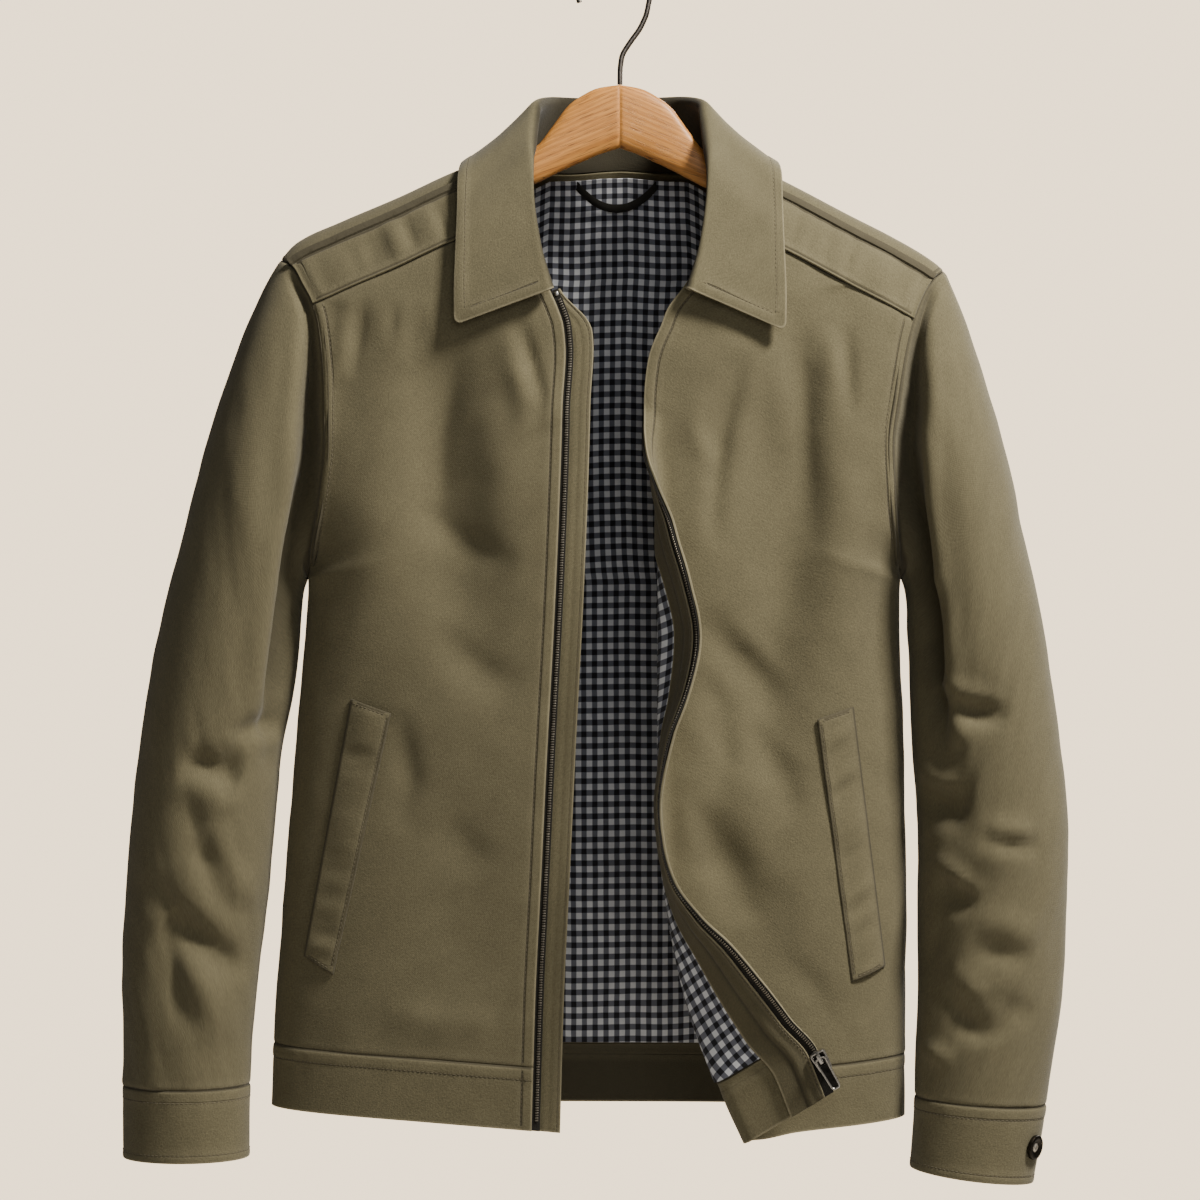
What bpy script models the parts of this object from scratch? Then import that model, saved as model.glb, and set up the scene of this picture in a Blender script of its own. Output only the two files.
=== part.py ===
"""A harrington jacket, open at the front, on a wooden hanger.

The frame: the origin is the inside top of the hanger's hook, +Z is up, the jacket's front faces -Y,
and +X is the wearer's left. Tables and sizes are in millimetres, and mesh points are written in metres.
"""

import math

import bmesh
import bpy
import numpy as np
from mathutils import Matrix, Vector

MM = 0.001

# Cloth and gaps
SHELL_WALL = 1.5
LINING_WALL = 1.0
TAPE_WALL = 1.0
GUARD_WALL = 1.6
COLLAR_WALL = 1.6
CUFF_WALL = 2.0
WELT_WALL = 1.4
SEAM_GAP = 0.4  # between two sewn pieces
SLEEVE_GAP = 0.5  # the same along the armhole, where both edges curve
LAYER_GAP = 0.3  # between two layers that lie on each other
UNDER_SHELL = SHELL_WALL + LAYER_GAP
UNDER_TAPE = UNDER_SHELL + TAPE_WALL + LAYER_GAP
LINING_DEPTH = 5.5  # the back lining hangs this far inside the shell's outer face

# Garment sizes
HEM_BAND_HEIGHT = 43.0
YOKE_UPPER_DROP = 16.0  # the two front shoulder seams, down from the shoulder ridge
YOKE_LOWER_DROP = 52.0
BACK_YOKE_HEIGHT = -262.0
UNDERARM_HEIGHT = -437.0
FACING_WIDTH = 33.0
TAPE_WIDTH = 7.0
GUARD_WIDTH = 19.5
COLLAR_ROLL_RADIUS = 4.6
SNAP_RADIUS = 8.5

# The section of the body is flattened: |x/reach|^SQUARENESS + |y/depth|^SQUARENESS = 1.
SQUARENESS = 2.5
SHOULDER_ROUND = 140.0  # the drop over which the front falls to its full depth
NECK_ROUND = 70.0  # the same at the middle of the back
CROWN_POWER = 0.55

COLLAR_MIDDLE = 4.0
NECK_HALF_WIDTH = 73.0
NECK_BACK_DROP = 33.0

SIDES = {"right": -1, "left": 1}


def smooth(keys, values, at):
    """A monotone cubic through the rows, held level past both ends."""
    steps = np.diff(keys)
    rises = np.diff(values) / steps
    slopes = np.zeros(len(keys))
    slopes[0], slopes[-1] = rises[0], rises[-1]
    for i in range(1, len(keys) - 1):
        if rises[i - 1] * rises[i] > 0:
            near = 2 * steps[i] + steps[i - 1]
            far = steps[i] + 2 * steps[i - 1]
            slopes[i] = (near + far) / (near / rises[i - 1] + far / rises[i])
    at = np.clip(at, keys[0], keys[-1])
    i = np.clip(np.searchsorted(keys, at, side="right") - 1, 0, len(keys) - 2)
    step = steps[i]
    t = (at - keys[i]) / step
    rise = values[i + 1] - values[i]
    ease = t * t * (3 - 2 * t)
    lift = t * (1 - t) ** 2 * step * slopes[i] - t * t * (1 - t) * step * slopes[i + 1]
    return values[i] + rise * ease + lift


class Rows:
    """A table with named columns. The first is the key, and the others are read between its rows."""

    def __init__(self, names, rows):
        table = np.array(sorted(rows), float)
        self.keys = table[:, 0]
        self.columns = {name: table[:, i] for i, name in enumerate(names.split())}

    def __call__(self, name, at):
        return smooth(self.keys, self.columns[name], np.asarray(at, float))


# The shoulder ridge, seen from the front
RIDGE = Rows(
    "x z",
    [
        (-234, -215),
        (-222, -202.5),
        (-192, -188),
        (-150, -170),
        (-111, -152),
        (-69, -137),
        (-35, -122),
        (4, -114),
        (43, -122),
        (77, -140),
        (117, -158),
        (161, -181),
        (193, -197.5),
        (221, -214),
        (232, -223),
    ],
)

# The body by height: how far its section reaches to each side, and its depth before and behind.
# Above the underarm the section reaches past the armhole, where the cloth ends.
TORSO = Rows(
    "z reach_right reach_left front back",
    [
        (-100, 300, 296, 46, 50),
        (-215, 290, 284, 50, 54),
        (-300, 272, 262, 54, 57),
        (-380, 244, 232, 57, 60),
        (-420, 223, 210.5, 58, 61),
        (-437, 213, 200, 58, 61),
        (-470, 215.5, 200, 58, 62),
        (-560, 223, 202.5, 59, 62),
        (-666, 231.5, 204, 60, 62),
        (-760, 238, 203.5, 60, 61),
        (-830, 240.5, 203, 59, 60),
    ],
)

# The armhole seam, by height
ARMHOLE = {
    "right": Rows(
        "z x",
        [
            (-214.5, 233),
            (-220, 224),
            (-234, 215.5),
            (-247, 208.5),
            (-263, 204),
            (-307, 200),
            (-345, 199.5),
            (-380, 203),
            (-415, 209.5),
            (-437, 213),
        ],
    ),
    "left": Rows(
        "z x",
        [
            (-222, 230.5),
            (-228, 223),
            (-248, 211),
            (-265, 205),
            (-288, 200),
            (-312, 196.5),
            (-345, 192),
            (-380, 193.5),
            (-415, 197.5),
            (-437, 200),
        ],
    ),
}

# The neckline and front edge, by height. A front's outer part runs flat from the side to the fold,
# and its strip from there to the edge turns forward and back on itself by `turn` degrees, less `relax`
# at its end. `lean` is the rise of the turned strip, in degrees.
FRONT_EDGE = {
    "right": Rows(
        "z fold turn relax strip lean",
        [
            (-137, -89, 0, 0, 20, 0),
            (-165, -86, 0, 0, 20, 0),
            (-200, -80, 0, 0, 20, 0),
            (-230, -72, 0, 0, 20, 0),
            (-243, -66, 0, 0, 20, 0),
            (-259, -58.5, 0, 0, 20, 0),
            (-271, -54.5, 0, 0, 20, 0),
            (-290, -53, 0, 0, 20, 0),
            (-325, -55, 0, 0, 20, 0),
            (-370, -56.5, 0, 0, 20, 0),
            (-452, -60, 0, 0, 20, 0),
            (-562, -66, 0, 0, 20, 0),
            (-644, -70, 0, 0, 20, 0),
            (-726, -74, 0, 0, 20, 0),
            (-830, -77, 0, 0, 20, 0),
        ],
    ),
    "left": Rows(
        "z fold turn relax strip lean",
        [
            (-137, 97, 0, 0, 20, 0),
            (-165, 94, 0, 0, 20, 0),
            (-200, 87, 0, 0, 20, 0),
            (-230, 77, 0, 0, 20, 0),
            (-243, 69.5, 0, 0, 20, 0),
            (-259, 60, 0, 0, 23, 0),
            (-271, 46.6, 0, 0, 16, 0),
            (-294, 37.3, 0, 0, 15, 0),
            (-322, 34, 6, 0, 14, 0),
            (-347, 34, 45, 0, 18, 0),
            (-370, 36, 82, 0, 26, 0),
            (-395, 38, 110, 4, 36, 0),
            (-417, 38, 134, 20, 45, 0),
            (-440, 38, 156, 42, 53, 0),
            (-478, 38, 168, 55, 60, 0),
            (-520, 38, 157, 54, 57, 0),
            (-545, 38, 129, 34, 53, 0),
            (-570, 38, 105, 14, 51, 0),
            (-592, 38, 92, 2, 49, 0),
            (-615, 39, 93, 2, 51, 4),
            (-640, 41, 101, 4, 53, 10),
            (-668, 45, 119, 4, 57, 18),
            (-700, 51, 139, 4, 66, 26),
            (-729, 58, 152, 3, 72, 31),
            (-766, 71, 168, 1, 78, 32),
            (-795, 83, 174, 0, 86, 32),
            (-830, 99, 174, 0, 84, 32),
        ],
    ),
}
CURL_RADIUS = 7.0
RELAX_LENGTH = 24.0  # the turned strip relaxes over this length, and keeps its new turn from there on
RELAXED_LENGTH = 20.0
EDGE_MARGIN = 24.0  # how far past the front edge the sheet is worked out, for the zip guard and tape

# The hem's lower edge
HEM = Rows(
    "x z",
    [
        (-240, -804),
        (-150, -808.5),
        (-57, -815),
        (40, -823),
        (99, -821.5),
        (125, -817),
        (170, -813.5),
        (204, -811),
    ],
)
BACK_HEM = Rows("x z", [(-240, -804), (-205, -808), (-150, -811), (150, -812), (204, -811)])

# Soft folds: each runs from one point to another, with its width and its height (negative is a trough).
FRONT_FOLDS = [
    (-176, -250, -192, -330, 18, -4),
    (-140, -270, -118, -470, 30, -4),
    (-60, -290, -44, -335, 14, 3),
    (-120, -560, -100, -740, 34, -3),
    (152, -236, 163, -300, 16, -4),
    (117, -285, 84, -425, 20, -6),
    (78, -490, 96, -570, 22, -4),
    (62, -600, 116, -700, 20, -6),
    (140, -330, 150, -480, 26, 4),
]
BACK_FOLDS = [
    (-150, -300, -120, -520, 30, -5),
    (140, -310, 110, -540, 30, -5),
    (-40, -420, -60, -700, 32, 4),
    (60, -480, 40, -740, 32, 4),
]

# The sleeves, by station from the armhole to the end of the cuff. Each ring runs from an outer point to
# an inner point, both seen from the front; pinch draws its front and back in beside the armhole.
SLEEVE = {
    "right": Rows(
        "station outer_x outer_z inner_x inner_z depth middle pinch",
        [
            (0, 232.5, -214, 213, -437, 46, 0, 0),
            (3, 239, -222, 214.5, -439, 48, 0, 3),
            (6, 245, -233, 215.5, -441, 50, 0, 3),
            (14, 261, -270, 217.5, -448, 54, 0, 0),
            (24, 284, -338, 218.5, -460, 57, -1, 0),
            (36, 306, -424, 220, -487, 57, -2, 0),
            (48, 321, -487, 225, -520, 55, -4, 0),
            (58, 331, -555, 233, -560, 52, -6, 0),
            (68, 338, -622, 237.5, -622, 49, -8, 0),
            (80, 342.5, -700, 246.5, -700, 45, -10, 0),
            (100, 342, -789, 253.5, -789, 39, -12, 0),
            (108, 341.5, -839, 254, -839, 38, -13, 0),
        ],
    ),
    "left": Rows(
        "station outer_x outer_z inner_x inner_z depth middle pinch",
        [
            (0, 230.5, -222, 200, -437, 46, 0, 0),
            (3, 236, -230, 201.5, -439, 48, 0, 3),
            (6, 241, -243, 202.5, -441, 50, 0, 3),
            (14, 253, -279, 204, -448, 54, 0, 0),
            (24, 272, -343, 204.5, -460, 57, -1, 0),
            (36, 290, -425, 205.5, -487, 57, -2, 0),
            (48, 302, -488, 207, -520, 55, -4, 0),
            (58, 311, -553, 208.5, -560, 52, -6, 0),
            (68, 316, -622, 212.5, -622, 49, -8, 0),
            (80, 314, -700, 212.5, -700, 45, -10, 0),
            (100, 301, -803, 209.5, -797, 39, -12, 0),
            (108, 291.5, -856.5, 206, -846.5, 38, -13, 0),
        ],
    ),
}
SLEEVE_BLEND = 24.0  # the station where the armhole's shape has given way to plain rings
CUFF_STATION = 100.0
SLEEVE_FOLDS = {
    "right": [
        (-293, -560, -258, -578, 14, -5),
        (-285, -623, -248, -641, 14, -5),
        (-308, -672, -258, -709, 14, -6),
    ],
    "left": [
        (218, -512, 268, -528, 14, -5),
        (208, -576, 242, -591, 15, -8),
        (221, -633, 286, -617, 14, 4),
        (253, -720, 258, -755, 13, -4),
    ],
}

# The collar by station, from the middle of the back to its front end: the roll and the free edge.
# Sideways places are counted from the collar's middle.
COLLAR = Rows(
    "station roll_x roll_y roll_z edge_x edge_y edge_z bow",
    [
        (0, 0, 50, -94, 0, 60, -160, 2),
        (1, 41, 35, -95, 74, 41, -158, 2),
        (1.5, 51, 20, -98, 96, 24, -153, 0),
        (2, 56.5, 3, -105, 111, 3, -145.5, -2),
        (2.25, 57.5, -6, -117, 112.5, -24, -158, -2),
        (2.5, 58.5, -16, -130, 112.5, -33, -176, -1),
        (3, 59.5, -34, -160, 113, -44, -203, 0),
        (4, 54.5, -51, -206, 114, -52, -240, 0),
        (5, 45.5, -60, -239, 113.5, -55, -264, 0),
    ],
)
COLLAR_LEFT_DROP = 4.0  # the left leaf hangs this much lower at its tip

# The hanger's wood, by distance from its middle: the dome between the two arms
HANGER = Rows(
    "distance top bottom",
    [
        (0, -91.7, -135.8),
        (15, -94.2, -141),
        (26, -99.5, -146),
        (36, -107, -150.5),
        (47, -121.5, -156),
        (59, -136.5, -162),
        (74, -143, -167),
    ],
)
HANGER_TILT = 0.02
HANGER_SEAT = 3.6  # the arms' top, below the shoulder ridge
HANGER_HALF_LENGTH = 206.0
HANGER_HALF_THICKNESS = 7.0
HANGER_ARM_HEIGHT = 24.0
HANGER_TIP_HEIGHT = 17.0

HOOK_WIRE_RADIUS = 1.9
HOOK_RADIUS = 26.0
HOOK_STEM = [(4.2, -91.3), (4.3, -80), (5.6, -70.5), (11.5, -61.5), (18.2, -52.5), (22.8, -42.5)]
HOOK_ARC = (-18.0, 202.0)

# Pocket welts: the corners of each, seen from the front
WELTS = {
    "right": [(-181, -520), (-153, -530), (-193, -710), (-214, -698)],
    "left": [(139, -534), (164.5, -525.5), (187, -705), (163, -715)],
}

# The loop at the back neck, seen from the front
LOOP_ENDS = 30.0
LOOP_TOP = -151.0
LOOP_DIP = 18.0
LOOP_HEIGHT = 5.5

COLOURS = {
    "twill": ((0.215, 0.185, 0.115), 0.85, 0.0),
    "lining": ((0.3, 0.3, 0.33), 0.8, 0.0),
    "tape": ((0.03, 0.028, 0.02), 0.8, 0.0),
    "metal": ((0.6, 0.6, 0.6), 0.25, 1.0),
    "steel": ((0.28, 0.26, 0.24), 0.3, 1.0),
    "wood": ((0.62, 0.36, 0.16), 0.5, 0.0),
    "snap": ((0.05, 0.045, 0.035), 0.35, 1.0),
}


def clear_scene():
    for old in list(bpy.data.objects):
        bpy.data.objects.remove(old, do_unlink=True)


def finish(name):
    """The named finish as a Principled BSDF material."""
    found = bpy.data.materials.get(name)
    if found:
        return found
    colour, roughness, metallic = COLOURS[name]
    made = bpy.data.materials.new(name)
    made.use_nodes = True
    shader = made.node_tree.nodes["Principled BSDF"]
    shader.inputs["Base Color"].default_value = (*colour, 1)
    shader.inputs["Roughness"].default_value = roughness
    shader.inputs["Metallic"].default_value = metallic
    return made


def ease(t):
    t = np.clip(t, 0, 1)
    return t * t * (3 - 2 * t)


def unit(vectors):
    return vectors / np.maximum(np.linalg.norm(vectors, axis=-1, keepdims=True), 1e-9)


def fold_height(folds, x, z):
    """How far the soft folds stand out at each point, seen from the front."""
    height = np.zeros(np.broadcast(x, z).shape)
    for x0, z0, x1, z1, width, rise in folds:
        length = math.hypot(x1 - x0, z1 - z0)
        t = np.clip(((x - x0) * (x1 - x0) + (z - z0) * (z1 - z0)) / length**2, 0, 1)
        away = np.hypot(x - (x0 + t * (x1 - x0)), z - (z0 + t * (z1 - z0)))
        height = height + rise * np.sqrt(np.sin(np.pi * t)) * np.exp(-((away / width) ** 2))
    return height


# The body's surface


def reach_at(x, z):
    return np.where(x < 0, TORSO("reach_right", z), TORSO("reach_left", z))


def crown(x, z, back):
    """From 0 on the shoulder ridge to 1 where the cloth has reached its full depth."""
    span = SHOULDER_ROUND
    if back:
        span = NECK_ROUND + (SHOULDER_ROUND - NECK_ROUND) * np.clip(np.abs(x) / 230, 0, 1)
    t = np.clip((RIDGE("z", x) - z) / span, 0, 1)
    return (1 - (1 - t) ** 2) ** CROWN_POWER


def depth_at(x, z, back):
    """The distance of the body's outer surface from the plane of the hanger."""
    share = np.clip(np.abs(x) / reach_at(x, z), 0, 1)
    lateral = (1 - share**SQUARENESS) ** (1 / SQUARENESS)
    plain = TORSO("back" if back else "front", z) * crown(x, z, back) * lateral
    return plain + fold_height(BACK_FOLDS if back else FRONT_FOLDS, x, z) * ease(2 * lateral - 0.4)


def body_point(x, z, back):
    y = depth_at(x, z, back) * (1 if back else -1)
    return np.stack(np.broadcast_arrays(x, y, z), axis=-1)


def angle_of(x, z):
    """The place round the section: 0 at its middle, a quarter turn at the side."""
    return np.arcsin(np.clip(np.abs(x) / reach_at(x, z), 0, 1) ** (SQUARENESS / 2))


def round_section(side, angle, z):
    """The sideways place at an angle round the section, past a quarter turn too."""
    return SIDES[side] * TORSO("reach_" + side, z) * np.abs(np.sin(angle)) ** (2 / SQUARENESS)


def outer_angle(side, z):
    """The angle where a panel ends: at the armhole, or at the side seam under it."""
    seam = SIDES[side] * ARMHOLE[side]("x", z)
    return np.where(z > UNDERARM_HEIGHT, angle_of(seam, z), math.pi / 2)


def band_top(x, back):
    return (BACK_HEM if back else HEM)("z", x) + HEM_BAND_HEIGHT


def row_height(x, row, back, top):
    """Rows 0 to 1 run from a panel's top to the hem band, and 1 to 2 down the band."""
    seam = band_top(x, back)
    upper = top(x) * (1 - row) + seam * row
    return np.where(row <= 1, upper, seam - HEM_BAND_HEIGHT * (row - 1))


def front_top(x):
    return RIDGE("z", x) - YOKE_LOWER_DROP


# Sheets: a dense grid of points and inward directions, from which each piece takes its own part


class Sheet:
    def __init__(self, points, rows, columns, closed=False):
        self.points, self.rows, self.columns = points, np.asarray(rows), np.asarray(columns)
        along = np.gradient(points, axis=0)
        if closed:
            across = np.roll(points, -1, axis=1) - np.roll(points, 1, axis=1)
        else:
            across = np.gradient(points, axis=1)
        self.inward = unit(np.cross(along, across))

    def flip(self):
        self.inward = -self.inward
        return self

    def take(self, rows, columns):
        """Points and inward directions at the given rows; columns may differ from row to row."""
        rows = np.asarray(rows, float)
        columns = np.broadcast_to(np.asarray(columns, float), (len(rows), np.shape(columns)[-1]))
        place = np.interp(rows, self.rows, np.arange(len(self.rows)))
        low = np.clip(place.astype(int), 0, len(self.rows) - 2)
        share = (place - low)[:, None, None]
        found = []
        for grid in (self.points, self.inward):
            lines = grid[low] * (1 - share) + grid[low + 1] * share
            found.append(
                np.array(
                    [
                        np.stack([np.interp(c, self.columns, line[:, k]) for k in range(3)], axis=-1)
                        for c, line in zip(columns, lines)
                    ]
                )
            )
        return found[0], unit(found[1])


def trim(points, top=0.0, bottom=0.0, first=0.0, last=0.0):
    """The grid with its borders drawn in, so that neighbours keep a seam gap."""
    points = points.copy()
    if top:
        points[0] += unit(points[1] - points[0]) * top
    if bottom:
        points[-1] += unit(points[-2] - points[-1]) * bottom
    if first:
        points[:, 0] += unit(points[:, 1] - points[:, 0]) * first
    if last:
        points[:, -1] += unit(points[:, -2] - points[:, -1]) * last
    return points


def wall(name, points, inward, thickness, material, depth=0.0, closed=False):
    """A piece of cloth: the grid, and its copy set in by the wall, joined round their borders."""
    rows, columns = points.shape[:2]
    layers = [points + inward * depth, points + inward * (depth + thickness)]
    mesh = bmesh.new()
    verts = [
        [[mesh.verts.new(Vector(layer[i, j]) * MM) for j in range(columns)] for i in range(rows)]
        for layer in layers
    ]
    around = columns if closed else columns - 1
    for i in range(rows - 1):
        for j in range(around):
            k = (j + 1) % columns
            for layer in verts:
                corner = layer[i + 1][k]
                mesh.faces.new((layer[i][j], layer[i][k], corner))
                mesh.faces.new((layer[i][j], corner, layer[i + 1][j]))
    border = [((0, j), (0, (j + 1) % columns)) for j in range(around)]
    border += [((rows - 1, (j + 1) % columns), (rows - 1, j)) for j in range(around)]
    if not closed:
        border += [((i + 1, 0), (i, 0)) for i in range(rows - 1)]
        border += [((i, columns - 1), (i + 1, columns - 1)) for i in range(rows - 1)]
    for (a, b), (c, d) in border:
        mesh.faces.new((verts[0][c][d], verts[0][a][b], verts[1][a][b], verts[1][c][d]))
    return solid(name, mesh, material)


def solid(name, mesh, material, sharp_degrees=40):
    """The mesh as a named object, with its faces pointing out."""
    bmesh.ops.recalc_face_normals(mesh, faces=mesh.faces[:])
    data = bpy.data.meshes.new(name)
    mesh.to_mesh(data)
    mesh.free()
    data.shade_smooth()
    data.set_sharp_from_angle(angle=math.radians(sharp_degrees))
    data.materials.append(finish(material))
    made = bpy.data.objects.new(name, data)
    bpy.context.scene.collection.objects.link(made)
    return made


# Fronts


def curl(start, along, turn, relax, lean, length, side):
    """The strip past the fold: it bends forward round the curl, and relaxes towards its free edge."""
    steps = np.linspace(0, length, 60)
    bend = np.radians(turn) * np.clip(steps / max(CURL_RADIUS * math.radians(turn), 1e-3), 0, 1)
    bend = bend - math.radians(relax) * ease(
        (steps - length + EDGE_MARGIN + RELAXED_LENGTH + RELAX_LENGTH) / RELAX_LENGTH
    )
    onward = unit(np.array(along))
    returned = np.array([SIDES[side] * math.cos(math.radians(lean)), 0, math.sin(math.radians(lean))])
    forward = np.array([0.0, -1.0, 0.0])
    cosine, sine = np.cos(bend)[:, None], np.sin(bend)[:, None]
    way = np.where(cosine > 0, cosine * onward, -cosine * returned) + sine * forward
    way = unit(way)
    run = np.concatenate([[0], np.diff(steps)])[:, None]
    return steps, start + np.cumsum(way * run, axis=0)


def front_line(side, row):
    """One line across a front, from past its free edge to past the side: points and their columns."""
    table = FRONT_EDGE[side]
    sign = SIDES[side]
    x, z = sign * 80.0, -500.0
    for _ in range(14):
        z = row_height(x, row, False, front_top)
        x = float(table("fold", z))
    fold_angle = float(angle_of(x, z))
    share = np.linspace(0, 1.08, 66)
    heights = np.full(len(share), float(z))
    for _ in range(14):
        angles = fold_angle + (outer_angle(side, heights) - fold_angle) * share
        places = round_section(side, angles, heights)
        heights = row_height(places, row, False, front_top)
    flat = body_point(places, heights, False)
    flat[angles > math.pi / 2, 1] *= -1
    strip, turn = float(table("strip", z)), float(table("turn", z))
    length = strip + EDGE_MARGIN
    steps, turned = curl(
        flat[0], flat[0] - flat[1], turn, float(table("relax", z)), float(table("lean", z)), length, side
    )
    level_x = x - sign * steps
    level = body_point(level_x, row_height(level_x, row, False, front_top), False)
    strip_points = level + (turned - level) * ease(turn / 18)
    line = np.concatenate([strip_points[:0:-1], flat])
    run = np.concatenate([[0], np.cumsum(np.linalg.norm(np.diff(line, axis=0), axis=1))])
    edge_run = np.interp(EDGE_MARGIN, np.linspace(0, length, len(steps)), np.linspace(0, run[59], len(steps)))
    distance = run - edge_run
    seam = np.interp(1.0, share, distance[-len(share):])
    places = np.where(
        distance < NEAR_COLUMNS,
        distance,
        NEAR_COLUMNS + 100 * (distance - NEAR_COLUMNS) / (seam - NEAR_COLUMNS),
    )
    return line, places, (strip, CURL_RADIUS * math.radians(turn))


NEAR_COLUMNS = 80.0  # columns up to here are distances from the front edge; the side seam is 100 past it
SIDE_COLUMN = NEAR_COLUMNS + 100


def front_sheet(side):
    rows = np.concatenate([np.linspace(0, 1, 100), np.linspace(1, 2, 9)[1:]])
    columns = np.concatenate([np.arange(-EDGE_MARGIN + 1, NEAR_COLUMNS, 1.0), np.linspace(80, 187, 60)])
    lines, curls = [], []
    for row in rows:
        line, places, bent = front_line(side, row)
        lines.append(np.stack([np.interp(columns, places, line[:, k]) for k in range(3)], axis=-1))
        curls.append(bent)
    sheet = Sheet(np.array(lines), rows, columns)
    sheet.curls = np.array(curls)
    return sheet.flip() if side == "left" else sheet


def front_columns(sheet, rows, last=180.0):
    """The panel's columns at each row: along the facing, round the curl, and on to the side seam."""
    found = []
    for row in rows:
        fold, arc = (np.interp(row, sheet.rows, sheet.curls[:, k]) for k in range(2))
        if arc < 1:
            start, end = 40.0, 62.0
        else:
            start = max(fold - arc, EDGE_COLUMNS[-1] + 3)
            end = max(fold + 2, start + 18)
        bend = start + (end - start) * np.array([0, 0.27, 0.5, 0.73, 1])
        rest = end + (180 - end) * SIDE_SHARES
        found.append(np.concatenate([EDGE_COLUMNS, bend, rest[rest <= last + 0.01]]))
    return np.array(found)


FRONT_ROWS = np.array(
    [0, 0.07, 0.14, 0.2, 0.25, 0.3, 0.35, 0.4, 0.45, 0.51, 0.58, 0.65, 0.71, 0.77, 0.83, 0.89, 0.95, 1]
)
BAND_ROWS = np.array([1.0, 1.5, 2.0])
EDGE_COLUMNS = np.array([0, TAPE_WIDTH, 13, 20, 27.5, FACING_WIDTH + 1.5])
SIDE_SHARES = np.array([0.17, 0.35, 0.53, 0.67, 0.79, 0.89, 1])
PLAIN_COLUMNS = np.array([0, TAPE_WIDTH, 24, 46, 70, 92, 112, 130, 146, 160, 171, 180.0])


def make_fronts(sheets):
    half = SEAM_GAP / 2
    for side, sheet in sheets.items():
        for name, rows in (("front_", FRONT_ROWS), ("hem_band_", BAND_ROWS)):
            columns = front_columns(sheet, rows) if side == "left" else PLAIN_COLUMNS
            points, inward = sheet.take(rows, columns)
            low = half if rows[-1] == 1 else 0
            wall(name + side, trim(points, half, low, 0, half), inward, SHELL_WALL, "twill")


def make_front_insides(sheets):
    """The lining, facing, tapes and zip guard behind the fronts' edges."""
    left, right = sheets["left"], sheets["right"]
    rows = FRONT_ROWS[1:]
    columns = front_columns(left, rows)[:, len(EDGE_COLUMNS) - 1 : -1]
    points, inward = left.take(rows, columns)
    wall("lining_front_left", trim(points, 0, 0.8), inward, LINING_WALL, "lining", UNDER_SHELL)
    rows = np.concatenate([FRONT_ROWS[FRONT_ROWS > 0.1], BAND_ROWS[1:]])
    points, inward = left.take(rows, EDGE_COLUMNS[1:])
    wall("facing_left", trim(points, 0, 0.8), inward, LINING_WALL, "twill", UNDER_TAPE)
    points, inward = left.take(rows, EDGE_COLUMNS[:3])
    wall("zip_tape_left", trim(points, 0, 6), inward, TAPE_WALL, "tape", UNDER_SHELL)
    points, inward = right.take(rows, [-5.5, 0, TAPE_WIDTH])
    wall("zip_tape_right", trim(points, 0, 4), inward, TAPE_WALL, "tape", UNDER_SHELL)
    reach = -7.0 - (GUARD_WIDTH - 7.0) * ease((rows - rows[0]) / 0.06)
    columns = np.stack([reach, reach / 2, np.zeros(len(reach)), np.full(len(reach), TAPE_WIDTH)], axis=1)
    points, inward = right.take(rows, columns)
    wall("zip_guard", points, inward, GUARD_WALL, "twill", UNDER_TAPE)


# Back and yokes


def back_top(x):
    return np.full(np.shape(x), BACK_YOKE_HEIGHT)


def lining_top(x):
    """The lining's top follows the back neckline, and runs a little below the shoulders."""
    across = np.clip(np.abs(x - COLLAR_MIDDLE) / NECK_HALF_WIDTH, 0, 1)
    return RIDGE("z", x) - np.maximum(NECK_BACK_DROP * np.sqrt(1 - across**2) + 2.5, 26.0)


def back_sheet(top):
    rows = np.concatenate([np.linspace(0, 1, 80), np.linspace(1, 2, 7)[1:]])
    columns = np.linspace(-1.06, 1.06, 107)
    lines = []
    for row in rows:
        line = np.zeros((len(columns), 3))
        for side, sign in SIDES.items():
            use = columns * sign >= 0
            share = np.abs(columns[use])
            heights = np.full(len(share), -500.0)
            for _ in range(14):
                seam = outer_angle(side, heights)
                angles = seam * share ** (0.85)
                places = round_section(side, angles, heights)
                heights = row_height(places, row, True, top)
            points = body_point(places, heights, True)
            points[angles > math.pi / 2, 1] *= -1
            line[use] = points
        lines.append(line)
    return Sheet(np.array(lines), rows, columns)


LINING_ROWS = np.array([0, 0.025, 0.06, 0.1, 0.16, 0.25, 0.34, 0.42, 0.463, 0.51, 0.62, 0.75, 0.88, 1])


def make_back():
    half = SEAM_GAP / 2
    sheet = back_sheet(back_top)
    columns = np.array([0, 0.07, 0.16, 0.28, 0.42, 0.55, 0.67, 0.77, 0.86, 0.93, 1])
    columns = np.concatenate([-columns[:0:-1], columns])
    rows = np.array([0, 0.085, 0.17, 0.26, 0.344, 0.4, 0.49, 0.59, 0.69, 0.79, 0.9, 1])
    points, inward = sheet.take(rows, columns)
    wall("back_panel", trim(points, half, half, half, half), inward, SHELL_WALL, "twill")
    points, inward = sheet.take(BAND_ROWS, columns)
    wall("hem_band_back", trim(points, half, 0, half, half), inward, SHELL_WALL, "twill")
    lining = back_sheet(lining_top)
    points, inward = lining.take(LINING_ROWS, np.concatenate([[-0.88], columns[3:-3], [0.88]]))
    wall("lining_back", trim(points, 0, 0.8), inward, LINING_WALL, "lining", LINING_DEPTH)


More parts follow.
